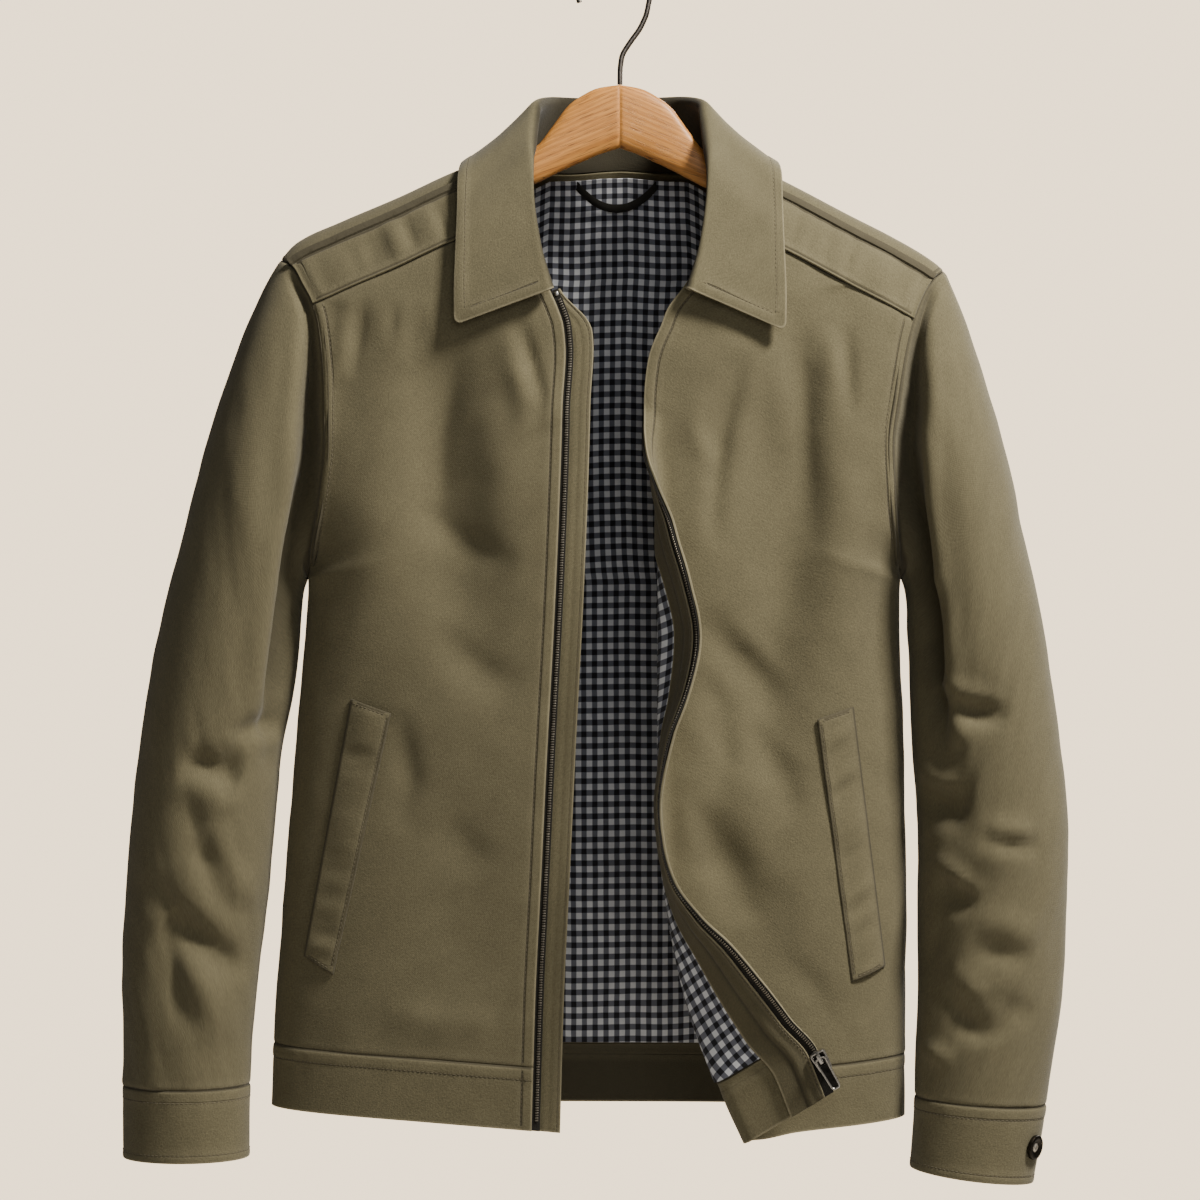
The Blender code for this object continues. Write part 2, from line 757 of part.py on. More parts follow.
def chart_point(x, drop):
    """A point of the body by its sideways place and its drop from the ridge, in front if negative."""
    x, drop = np.broadcast_arrays(np.asarray(x, float), np.asarray(drop, float))
    z = RIDGE("z", x) - np.abs(drop)
    y = np.where(drop > 0, depth_at(x, z, True), -depth_at(x, z, False))
    return np.stack([x, np.where(drop == 0, 0, y), z], axis=-1)


def armhole_x(side, drop):
    """Where the armhole seam lies at a drop from the ridge."""
    heights = np.linspace(ARMHOLE[side].keys[-1], -330, 160)
    places = SIDES[side] * ARMHOLE[side]("x", heights)
    return np.interp(np.abs(drop), RIDGE("z", places) - heights, places)


def neckline_x(side, drop):
    """Where the front neckline lies at a drop from the ridge."""
    heights = np.linspace(-137, -240, 60)
    table = FRONT_EDGE[side]
    places = table("fold", heights) - SIDES[side] * table("strip", heights)
    return np.interp(np.abs(drop), RIDGE("z", places) - heights, places)


def yoke_rims(side):
    """The back yoke's inner and outer borders on one side, from the middle of the back to the front."""
    turn = np.radians(np.linspace(0, 90, 20))
    neck = np.stack(
        [
            COLLAR_MIDDLE + SIDES[side] * NECK_HALF_WIDTH * np.sin(turn),
            NECK_BACK_DROP * np.cos(turn),
        ],
        axis=-1,
    )
    drops = -np.linspace(0, YOKE_UPPER_DROP, 6)[1:]
    neck = np.concatenate([neck, np.stack([neckline_x(side, drops), drops], axis=-1)])
    neck_keys = np.concatenate([np.linspace(0, 0.7, 20), np.linspace(0.7, 1, 6)[1:]])
    corner = SIDES[side] * float(ARMHOLE[side]("x", BACK_YOKE_HEIGHT))
    across = np.linspace(0, corner, 12)
    seam = np.stack([across, RIDGE("z", across) - BACK_YOKE_HEIGHT], axis=-1)
    drops = np.linspace(seam[-1, 1], 0, 16)[1:]
    arm = np.stack([armhole_x(side, drops), drops], axis=-1)
    drops = -np.linspace(0, YOKE_UPPER_DROP, 6)[1:]
    tip = np.stack([armhole_x(side, drops), drops], axis=-1)
    outer_keys = np.concatenate([np.linspace(0, 0.45, 12), np.linspace(0.45, 0.7, 16)[1:], np.linspace(0.7, 1, 6)[1:]])
    return neck, neck_keys, np.concatenate([seam, arm, tip]), outer_keys


def inward_of(points, back):
    """The inward direction of the body's surface, from how its depth changes."""
    step = 0.4
    x, y, z = points[..., 0], points[..., 1], points[..., 2]
    slope_x = (depth_at(x + step, z, back) - depth_at(x - step, z, back)) / (2 * step)
    slope_z = (depth_at(x, z + step, back) - depth_at(x, z - step, back)) / (2 * step)
    return unit(np.stack([slope_x, -np.sign(y), slope_z], axis=-1))


def yoke_sheet():
    """The back yoke runs out from the neckline, over both shoulders, to the armholes and the back seam."""
    keys = np.linspace(-1, 1, 161)
    shares = np.linspace(0, 1, 60)
    grid = np.zeros((len(shares), len(keys), 2))
    for side, sign in SIDES.items():
        neck, neck_keys, outer, outer_keys = yoke_rims(side)
        use = keys * sign >= 0
        at = np.abs(keys[use])
        inner = np.stack([np.interp(at, neck_keys, neck[:, k]) for k in range(2)], axis=-1)
        outside = np.stack([np.interp(at, outer_keys, outer[:, k]) for k in range(2)], axis=-1)
        grid[:, use] = inner + (outside - inner) * shares[:, None, None]
    sheet = Sheet(chart_point(grid[..., 0], grid[..., 1]), shares, keys)
    return sheet


def make_yokes():
    half = SEAM_GAP / 2
    keys = np.array([0, 0.117, 0.233, 0.35, 0.467, 0.53, 0.583, 0.64, 0.67, 0.7, 0.73, 0.78, 0.87, 1.0])
    keys = np.concatenate([-keys[:0:-1], keys])
    points, inward = yoke_sheet().take(np.linspace(0, 1, 9), keys)
    wall("back_yoke", trim(points, 0, half, half, half), inward, SHELL_WALL, "twill")
    drops = -np.linspace(YOKE_UPPER_DROP, YOKE_LOWER_DROP, 40)
    shares = np.linspace(0, 1, 50)
    for side in SIDES:
        inner = neckline_x(side, drops)[:, None]
        outer = armhole_x(side, drops)[:, None]
        sheet = Sheet(chart_point(inner + (outer - inner) * shares, drops[:, None]), drops[::-1], shares)
        sheet.points, sheet.inward = sheet.points[::-1], sheet.inward[::-1]
        if side == "left":
            sheet.flip()
        rows = -np.linspace(YOKE_LOWER_DROP, YOKE_UPPER_DROP, 5)
        points, inward = sheet.take(rows, np.linspace(0, 1, 10))
        wall("front_yoke_" + side, trim(points, half, half, 0, half), inward, SHELL_WALL, "twill")


# Sleeves and cuffs


def armhole_ring(side, turns):
    """The armhole seam at angles round it: 0 at the shoulder, a quarter turn at the front."""
    top = ARMHOLE[side].keys[-1]
    z = top + (UNDERARM_HEIGHT - top) * (1 - np.cos(turns)) / 2
    x = SIDES[side] * ARMHOLE[side]("x", z)
    y = np.where(np.sin(turns) >= 0, -depth_at(x, z, False), depth_at(x, z, True))
    y = np.where(np.abs(np.sin(turns)) < 1e-6, 0, y)
    return np.stack([x, y, z], axis=-1)


def sleeve_sheet(side):
    table = SLEEVE[side]
    stations = np.linspace(0, table.keys[-1], 217)
    turns = np.radians(np.arange(0, 360, 3.0))
    sign = SIDES[side]
    seam = armhole_ring(side, turns)
    seam[:, 0] += sign * SLEEVE_GAP
    seam[:, 2] += SLEEVE_GAP * ease(-np.cos(turns))
    rings = []
    for station in stations:
        row = {name: float(table(name, station)) for name in table.columns}
        reach_x = sign * (row["outer_x"] - row["inner_x"]) / 2
        reach_z = (row["outer_z"] - row["inner_z"]) / 2
        middle_x = sign * (row["outer_x"] + row["inner_x"]) / 2
        middle_z = (row["outer_z"] + row["inner_z"]) / 2
        depth = row["depth"] - row["pinch"] * np.abs(np.sin(turns)) ** 3
        ring = np.stack(
            [
                middle_x + reach_x * np.cos(turns),
                row["middle"] - depth * np.sin(turns),
                middle_z + reach_z * np.cos(turns),
            ],
            axis=-1,
        )
        ring = seam + (ring - seam) * (1 - np.clip(1 - station / SLEEVE_BLEND, 0, 1) ** 2)
        fade = ease(station / 40) * ease((CUFF_STATION - station) / 6)
        folds = fold_height(SLEEVE_FOLDS[side], ring[:, 0], ring[:, 2])
        behind = fold_height(SLEEVE_FOLDS[side], ring[:, 0], ring[:, 2] + 45)
        front = np.clip(np.sin(turns), 0, 1)
        back = np.clip(-np.sin(turns), 0, 1)
        ring[:, 1] += fade * (-folds * front + behind * back)
        rings.append(ring)
    sheet = Sheet(np.array(rings), stations, np.degrees(turns), closed=True)
    if side == "right":
        sheet.flip()
    # At the armhole the wall may not lean in over the body's own wall.
    near = 1 - ease(stations / 4)[:, None]
    lean = np.clip(-sign * sheet.inward[..., 0], 0, None) * near
    sheet.inward[..., 0] += sign * lean
    sheet.inward = unit(sheet.inward)
    return sheet


SLEEVE_ROWS = np.array([0, 3.2, 6.5, 10.5, 16, 24, 32, 40, 48, 54, 60, 66, 73, 81, 90, 100.0])
CUFF_ROWS = np.array([100, 104, 108.0])
AROUND = np.arange(0, 360, 18.0)


def make_sleeves():
    sheets = {}
    for side in SIDES:
        sheet = sleeve_sheet(side)
        sheets[side] = sheet
        points, inward = sheet.take(SLEEVE_ROWS, AROUND)
        points = trim(points, SLEEVE_GAP, SEAM_GAP / 2)
        wall("sleeve_" + side, points, inward, SHELL_WALL, "twill", closed=True)
        points, inward = sheet.take(CUFF_ROWS, AROUND)
        points = trim(points, SEAM_GAP / 2)
        wall("cuff_" + side, points, inward, CUFF_WALL, "twill", closed=True)
    return sheets


# Collar


def collar_section(station, side):
    """One section of the collar, from the neck seam up the stand, round the roll and down the fall."""
    sign = SIDES[side]
    row = {name: float(COLLAR(name, station)) for name in COLLAR.columns}
    roll = np.array([COLLAR_MIDDLE + sign * row["roll_x"], row["roll_y"], row["roll_z"]])
    edge = np.array([COLLAR_MIDDLE + sign * row["edge_x"], row["edge_y"], row["edge_z"]])
    if side == "left":
        edge[2] -= COLLAR_LEFT_DROP * ease((station - 2) / 3)
    neck = neck_seam(station, side)
    up = unit(unit(roll - neck) + unit(roll - edge))
    out = edge - neck
    out = unit(out - up * np.dot(out, up))
    middle = roll - up * COLLAR_ROLL_RADIUS
    bends = np.radians(np.linspace(180, 0, 9))
    arc = [
        middle + COLLAR_ROLL_RADIUS * (math.cos(bend) * out + math.sin(bend) * up) for bend in bends
    ]
    stand = [neck + (arc[0] - neck) * t for t in (0, 0.5)]
    fall = [
        arc[-1] + (edge - arc[-1]) * t + out * row["bow"] * math.sin(math.pi * t)
        for t in (0.25, 0.5, 0.75, 1)
    ]
    return np.array(stand + arc + fall)


def neck_seam(station, side):
    """The neckline at a collar station, just off the body's surface."""
    if station < 2:
        turn = math.radians(45 * station)
        x = COLLAR_MIDDLE + SIDES[side] * NECK_HALF_WIDTH * math.sin(turn)
        drop = NECK_BACK_DROP * math.cos(turn)
    else:
        end = float(RIDGE("z", FRONT_NECK_X[side])) - FRONT_NECK_HEIGHT
        drop = -end * ((station - 2) / 3) ** 1.2
        x = float(neckline_x(side, drop))
    point = chart_point(x, drop)
    if abs(drop) < 2:
        outward = np.array([0, 0, 1.0])
    else:
        outward = -inward_of(point, drop > 0)
    return point + outward * NECK_SEAT


NECK_SEAT = 2.4
FRONT_NECK_HEIGHT = -240.0
FRONT_NECK_X = {"right": -46.0, "left": 50.0}


def make_collar():
    stations = np.concatenate([np.linspace(0, 1.6, 5), np.linspace(1.85, 3.1, 7), np.linspace(3.5, 5, 5)])
    left = [collar_section(s, "left") for s in stations]
    right = [collar_section(s, "right") for s in stations[:0:-1]]
    points = np.array(right + left)
    sheet = Sheet(points, np.arange(len(points)), np.arange(points.shape[1])).flip()
    picked = [0, 1, 2, 4, 6, 8, 10, 12, 14]
    wall("collar", points[:, picked], sheet.inward[:, picked], COLLAR_WALL, "twill")


# What lies on the panels


def make_welts():
    for side, corners in WELTS.items():
        top_a, top_b, low_b, low_a = (np.array(c, float) for c in corners)
        down = np.linspace(0, 1, 10)[:, None, None]
        over = np.linspace(0, 1, 4)[None, :, None]
        flat = (top_a * (1 - over) + top_b * over) * (1 - down) + (low_a * (1 - over) + low_b * over) * down
        points = body_point(flat[..., 0], flat[..., 1], False)
        inward = inward_of(points, False)
        wall("pocket_welt_" + side, points, inward, WELT_WALL, "twill", -LAYER_GAP - WELT_WALL)


def make_loop():
    t = np.linspace(-1, 1, 13)
    x = COLLAR_MIDDLE - 2 + LOOP_ENDS * t
    z = LOOP_TOP - LOOP_DIP * (1 - t**2)
    heights = np.stack([z, z - LOOP_HEIGHT], axis=-1)
    points = body_point(np.stack([x, x], axis=-1), heights, True)
    inward = inward_of(points, True)
    under = LINING_DEPTH + LINING_WALL + 2.0
    wall("hanger_loop", points, inward, 1.6, "tape", under)


# Hanger


def hanger_profile(x):
    """The top and bottom of the wood at a sideways place."""
    distance = abs(x - COLLAR_MIDDLE)
    tilt = -HANGER_TILT * (x - COLLAR_MIDDLE)
    arm = float(RIDGE("z", x)) - HANGER_SEAT
    dome = float(HANGER("top", distance)) + tilt
    share = float(ease((distance - 60) / 16))
    top = dome + (min(dome, arm) - dome) * share if distance < 76 else arm
    height = HANGER_ARM_HEIGHT + (HANGER_TIP_HEIGHT - HANGER_ARM_HEIGHT) * (distance / HANGER_HALF_LENGTH) ** 2
    low = float(HANGER("bottom", distance)) + tilt
    bottom = low + (top - height - low) * float(ease((distance - 56) / 40))
    return top, bottom


def make_hanger():
    distances = np.array([0, 10, 20, 30, 40, 50, 60, 70, 82, 100, 122, 146, 170, 190, 202, 206.0])
    places = COLLAR_MIDDLE + np.concatenate([-distances[:0:-1], distances])
    mesh = bmesh.new()
    rings = []
    for x in places:
        top, bottom = hanger_profile(x)
        end = abs(x - COLLAR_MIDDLE) / HANGER_HALF_LENGTH
        thick = HANGER_HALF_THICKNESS * (1 - 0.35 * float(ease((end - 0.9) / 0.1)))
        middle, half = (top + bottom) / 2, (top - bottom) / 2
        ring = []
        for turn in np.radians(np.arange(0, 360, 36.0)):
            y = thick * np.sign(math.sin(turn)) * abs(math.sin(turn)) ** 0.6
            z = middle + half * np.sign(math.cos(turn)) * abs(math.cos(turn)) ** 0.75
            ring.append(mesh.verts.new(Vector((x, y, z)) * MM))
        rings.append(ring)
    for near, far in zip(rings, rings[1:]):
        for j in range(len(near)):
            k = (j + 1) % len(near)
            mesh.faces.new((near[j], near[k], far[k], far[j]))
    mesh.faces.new(rings[0])
    mesh.faces.new(rings[-1][::-1])
    solid("hanger_wood", mesh, "wood")


def make_hook():
    turns = np.radians(np.linspace(*HOOK_ARC, 26))
    middle = HOOK_WIRE_RADIUS - HOOK_RADIUS
    route = HOOK_STEM + [(HOOK_RADIUS * math.cos(t), middle + HOOK_RADIUS * math.sin(t)) for t in turns]
    curve = bpy.data.curves.new("hanger_hook", "CURVE")
    curve.dimensions = "3D"
    curve.bevel_depth = HOOK_WIRE_RADIUS * MM
    curve.bevel_resolution = 2
    curve.use_fill_caps = True
    line = curve.splines.new("POLY")
    line.points.add(len(route) - 1)
    for point, (x, z) in zip(line.points, route):
        point.co = (x * MM, 0, z * MM, 1)
    curve.materials.append(finish("steel"))
    bpy.context.scene.collection.objects.link(bpy.data.objects.new("hanger_hook", curve))


# Trims

SLIDER_ROW = 1.5  # where the slider stops on the left front edge
SLIDER_LENGTH = 15.0
SLIDER_WIDTH = 11.0
SLIDER_THICKNESS = 4.0
BRIDGE_RISE = 2.9  # the underside of the slider's bridge, over the slider's face
BRIDGE_BAR = 1.1
PULL_AXIS_RISE = 1.45
PULL_THICKNESS = 1.4
PULL_LENGTH = 24.0
PULL_WIDTH = 9.0
PULL_SLOT = (0.9, 5.2)
PULL_SLOT_WIDTH = 4.2
BRIDGE_WIDTH = 2.4
BRIDGE_REACH = 3.4


def prism(outline, low, high, bevel=0.0):
    """A flat outline raised from one height to another, with its rims drawn in by the bevel."""
    mesh = bmesh.new()
    outline = np.array(outline, float)
    middle = outline.mean(axis=0)
    away = np.linalg.norm(outline - middle, axis=1, keepdims=True)
    drawn = middle + (outline - middle) * (1 - bevel / away)
    levels = [(low, outline), (high, outline)]
    if bevel:
        levels = [(low, drawn), (low + bevel, outline), (high - bevel, outline), (high, drawn)]
    rings = [[mesh.verts.new((x, y, z)) for x, y in level] for z, level in levels]
    for near, far in zip(rings, rings[1:]):
        for j in range(len(near)):
            k = (j + 1) % len(near)
            mesh.faces.new((near[j], near[k], far[k], far[j]))
    mesh.faces.new(rings[0][::-1])
    mesh.faces.new(rings[-1])
    return mesh


def slider_frame(sheet):
    """The slider's place on the turned front edge: down the edge, out past it, and towards the front."""
    points, inward = sheet.take([SLIDER_ROW - 0.4, SLIDER_ROW, SLIDER_ROW + 0.02], [0.0, 6.0])
    down = unit(points[2, 0] - points[0, 0])
    face = inward[1, 0]
    face = unit(face - down * np.dot(face, down))
    across = np.cross(face, down)
    origin = points[1, 0] + face * (UNDER_TAPE + 0.6)
    frame = Matrix([[down[i], across[i], face[i], origin[i] * MM] for i in range(3)] + [[0, 0, 0, 1]])
    return frame


def place(name, mesh, frame, material, pivot=(0, 0, 0)):
    """A hard trim, modelled about its pivot and set into its place by its matrix."""
    bmesh.ops.translate(mesh, verts=mesh.verts[:], vec=-Vector(pivot))
    bmesh.ops.scale(mesh, verts=mesh.verts[:], vec=(MM, MM, MM))
    made = solid(name, mesh, material, 30)
    made.matrix_world = frame @ Matrix.Translation(Vector(pivot) * MM)
    return made


def make_slider(frame):
    half, crown_half = SLIDER_WIDTH / 2 - 1.2, SLIDER_WIDTH / 2
    start = -SLIDER_LENGTH / 2
    outline = [
        (start, -crown_half + 2),
        (start + 2.5, -crown_half),
        (start + 7, -crown_half),
        (-start, -half),
        (-start, half),
        (start + 7, crown_half),
        (start + 2.5, crown_half),
        (start, crown_half - 2),
    ]
    mesh = prism(outline, 0, SLIDER_THICKNESS, 0.6)
    body = place("zip_slider", mesh, frame, "metal")
    rise = SLIDER_THICKNESS
    top = rise + BRIDGE_RISE
    arch = [
        (-BRIDGE_REACH, rise - 0.8),
        (-BRIDGE_REACH, top - 0.8),
        (-BRIDGE_REACH + 1.2, top + BRIDGE_BAR),
        (BRIDGE_REACH - 1.2, top + BRIDGE_BAR),
        (BRIDGE_REACH, top - 0.8),
        (BRIDGE_REACH, rise - 0.8),
        (BRIDGE_REACH - BRIDGE_BAR, rise - 0.8),
        (BRIDGE_REACH - BRIDGE_BAR, top),
        (-BRIDGE_REACH + BRIDGE_BAR, top),
        (-BRIDGE_REACH + BRIDGE_BAR, rise - 0.8),
    ]
    mesh = prism(arch, -BRIDGE_WIDTH / 2, BRIDGE_WIDTH / 2)
    bmesh.ops.rotate(mesh, verts=mesh.verts[:], matrix=Matrix.Rotation(math.radians(90), 3, "X"))
    bridge = place("slider_bridge_tool", mesh, frame, "metal", (0, 0, 0))
    bridge.location = frame @ Vector((PULL_AXIS_ALONG * MM, 0, 0))
    join_to(body, bridge)
    return body


PULL_AXIS_ALONG = -3.2


def join_to(body, tool):
    """The tool joined to the body by a Boolean union."""
    union = body.modifiers.new("union", "BOOLEAN")
    union.operation = "UNION"
    union.object = tool
    tool.hide_render = True
    tool.display_type = "WIRE"
    body.modifiers.new("triangles", "TRIANGULATE").ngon_method = "CLIP"


def make_pull(frame):
    """The pull tab: a plate with a slot at its top, whose end bar lies under the slider's bridge."""
    half = PULL_WIDTH / 2
    bar = PULL_THICKNESS / 2
    outline = [
        (-bar, -half + 1),
        (-bar, half - 1),
        (1.5, half),
        (PULL_LENGTH - 6, half - 0.4),
        (PULL_LENGTH - 1, half - 2),
        (PULL_LENGTH, 0),
        (PULL_LENGTH - 1, -half + 2),
        (PULL_LENGTH - 6, -half + 0.4),
        (1.5, -half),
    ]
    mesh = prism(outline, -bar, bar, 0.25)
    pivot = (PULL_AXIS_ALONG, 0, SLIDER_THICKNESS + PULL_AXIS_RISE)
    bmesh.ops.translate(mesh, verts=mesh.verts[:], vec=pivot)
    pull = place("zip_pull", mesh, frame, "metal", pivot)
    start, end = PULL_SLOT
    slot = [
        (start, -PULL_SLOT_WIDTH / 2),
        (start, PULL_SLOT_WIDTH / 2),
        (end, PULL_SLOT_WIDTH / 2),
        (end, -PULL_SLOT_WIDTH / 2),
    ]
    mesh = prism(slot, -2, 2)
    bmesh.ops.translate(mesh, verts=mesh.verts[:], vec=pivot)
    cutter = place("pull_slot_tool", mesh, frame, "metal", pivot)
    cut = pull.modifiers.new("slot", "BOOLEAN")
    cut.operation = "DIFFERENCE"
    cut.object = cutter
    cutter.hide_render = True
    cutter.display_type = "WIRE"
    pull.modifiers.new("triangles", "TRIANGULATE").ngon_method = "CLIP"
    return pull


SNAP_HEIGHT = 2.6
SNAP_STATION = 104.2
SNAP_TURN = {"right": 322.0, "left": 33.0}


def make_snaps(sheets):
    """A metal snap on each cuff: a domed disc with a sunk middle."""
    for side, sheet in sheets.items():
        points, inward = sheet.take([SNAP_STATION - 0.5, SNAP_STATION, SNAP_STATION + 0.5], [SNAP_TURN[side]])
        face = -inward[1, 0]
        down = points[2, 0] - points[0, 0]
        down = unit(down - face * np.dot(down, face))
        across = np.cross(face, down)
        origin = points[1, 0] + face * LAYER_GAP
        frame = Matrix([[down[i], across[i], face[i], origin[i] * MM] for i in range(3)] + [[0, 0, 0, 1]])
        mesh = bmesh.new()
        bmesh.ops.create_cone(
            mesh, cap_ends=True, segments=20, radius1=SNAP_RADIUS, radius2=SNAP_RADIUS - 1.2, depth=SNAP_HEIGHT
        )
        bmesh.ops.translate(mesh, verts=mesh.verts[:], vec=(0, 0, SNAP_HEIGHT / 2))
        lid = max(mesh.faces, key=lambda f: f.calc_center_median().z)
        bmesh.ops.inset_region(mesh, faces=[lid], thickness=3.2)
        bmesh.ops.translate(mesh, verts=lid.verts[:], vec=(0, 0, -0.9))
        place("cuff_snap_" + side, mesh, frame, "snap")


def main():
    clear_scene()
    fronts = {side: front_sheet(side) for side in SIDES}
    make_fronts(fronts)
    make_front_insides(fronts)
    make_back()
    make_yokes()
    sleeves = make_sleeves()
    make_collar()
    make_welts()
    make_loop()
    make_hanger()
    make_hook()
    frame = slider_frame(fronts["left"])
    make_slider(frame)
    make_pull(frame)
    make_snaps(sleeves)


if __name__ == "__main__":
    main()
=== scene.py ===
# A zip jacket hung open on a wooden hanger: cloth, sewing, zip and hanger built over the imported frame.
# Sizes and tables are in millimetres, and mesh points are written in metres.
import math

import bmesh
import bpy
import numpy as np
from mathutils import Matrix, Vector


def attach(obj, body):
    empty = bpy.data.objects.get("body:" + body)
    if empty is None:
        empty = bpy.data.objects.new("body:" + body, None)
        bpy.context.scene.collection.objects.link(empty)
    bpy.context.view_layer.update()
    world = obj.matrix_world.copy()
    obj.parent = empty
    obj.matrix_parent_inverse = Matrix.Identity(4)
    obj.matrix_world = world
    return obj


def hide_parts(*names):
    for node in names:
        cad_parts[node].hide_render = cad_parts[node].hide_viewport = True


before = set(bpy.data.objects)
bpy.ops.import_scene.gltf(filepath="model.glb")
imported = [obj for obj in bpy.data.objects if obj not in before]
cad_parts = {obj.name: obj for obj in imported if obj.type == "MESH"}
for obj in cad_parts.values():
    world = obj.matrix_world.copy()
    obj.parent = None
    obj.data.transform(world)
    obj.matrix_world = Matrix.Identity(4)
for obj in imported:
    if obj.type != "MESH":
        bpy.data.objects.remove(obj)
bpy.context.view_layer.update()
print("frame loaded")

mm = 0.001

# Cloth and gaps
shellWall = 1.5
liningWall = 1.0
tapeWall = 1.0
guardWall = 1.6
cuffWall = 2.0
weltWall = 1.4
sleeveGap = 0.5  # between front and sleeve along the armhole
layerGap = 0.3  # between two layers that lie on each other
underShell = shellWall + layerGap
underTape = underShell + tapeWall + layerGap
liningDepth = 5.5  # the back lining hangs this far inside the shell's outer face

# Garment sizes
hemBandHeight = 43.0
yokeUpperDrop = 16.0  # the two front shoulder seams, down from the shoulder ridge
yokeLowerDrop = 52.0
backYokeHeight = -262.0
underarmHeight = -437.0
facingWidth = 33.0
tapeWidth = 7.0
guardWidth = 19.5
collarRollRadius = 4.6

# The section of the body is flattened: |x/reach|^squareness + |y/depth|^squareness = 1.
squareness = 2.5
shoulderRound = 140.0  # the drop over which the front falls to its full depth
neckRound = 70.0  # the same at the middle of the back
shoulderReach = 230.0  # where the back's drop has become the front's
crownPower = 0.55

# The neckline
collarMiddle = 4.0
neckHalfWidth = 73.0
neckBackDrop = 33.0
neckSeat = 2.4  # the collar's seam stands this far off the shell
liningGap = 2.5  # from the back neck's seam down to the lining
liningDrop = 26.0  # the least drop of the lining from the shoulder ridge
neckTop = -137.0
frontNeckHeight = -240.0
armholeLow = -330.0  # the yokes end on the armhole above this height
frontNeckX = {"right": -46.0, "left": 50.0}

sides = {"right": -1, "left": 1}


def smooth(keys, values, at):
    # a curve through the rows that never swings past them
    steps = np.diff(keys)
    rises = np.diff(values) / steps
    slopes = np.zeros(len(keys))
    slopes[0], slopes[-1] = rises[0], rises[-1]
    for i in range(1, len(keys) - 1):
        if rises[i - 1] * rises[i] > 0:
            near = 2 * steps[i] + steps[i - 1]
            far = steps[i] + 2 * steps[i - 1]
            slopes[i] = (near + far) / (near / rises[i - 1] + far / rises[i])
    at = np.clip(at, keys[0], keys[-1])
    i = np.clip(np.searchsorted(keys, at, side="right") - 1, 0, len(keys) - 2)
    step = steps[i]
    t = (at - keys[i]) / step
    rise = values[i + 1] - values[i]
    ease = t * t * (3 - 2 * t)
    lift = t * (1 - t) ** 2 * step * slopes[i] - t * t * (1 - t) * step * slopes[i + 1]
    return values[i] + rise * ease + lift


class Rows:  # a table with named columns, read smoothly between its rows

    def __init__(self, names, rows):
        table = np.array(sorted(rows), float)
        self.keys = table[:, 0]
        self.columns = {name: table[:, i] for i, name in enumerate(names.split())}

    def __call__(self, name, at):
        return smooth(self.keys, self.columns[name], np.asarray(at, float))


# The shoulder ridge, seen from the front
ridgeLine = Rows(
    "x z",
    [
        (-234, -215), (-222, -202.5), (-192, -188), (-150, -170), (-111, -152), (-69, -137),
        (-35, -122), (4, -114), (43, -122), (77, -140), (117, -158), (161, -181), (193, -197.5),
        (221, -214), (232, -223),
    ],
)

# The body by height: how far its section reaches to each side, and its depth before and behind.
# Above the underarm the section reaches past the armhole, where the cloth ends.
torsoTable = Rows(
    "z reachRight reachLeft front back",
    [
        (-100, 300, 296, 46, 50), (-215, 290, 284, 50, 54), (-300, 272, 262, 54, 57),
        (-380, 244, 232, 57, 60), (-420, 223, 210.5, 58, 61), (-437, 213, 200, 58, 61),
        (-470, 215.5, 200, 58, 62), (-560, 223, 202.5, 59, 62), (-666, 231.5, 204, 60, 62),
        (-760, 238, 203.5, 60, 61), (-830, 240.5, 203, 59, 60),
    ],
)

# The armhole seam, by height
armholeLine = {
    "right": Rows(
        "z x",
        [
            (-214.5, 233), (-220, 224), (-234, 215.5), (-247, 208.5), (-263, 204), (-307, 200),
            (-345, 199.5), (-380, 203), (-415, 209.5), (-437, 213),
        ],
    ),
    "left": Rows(
        "z x",
        [
            (-222, 230.5), (-228, 223), (-248, 211), (-265, 205), (-288, 200), (-312, 196.5),
            (-345, 192), (-380, 193.5), (-415, 197.5), (-437, 200),
        ],
    ),
}

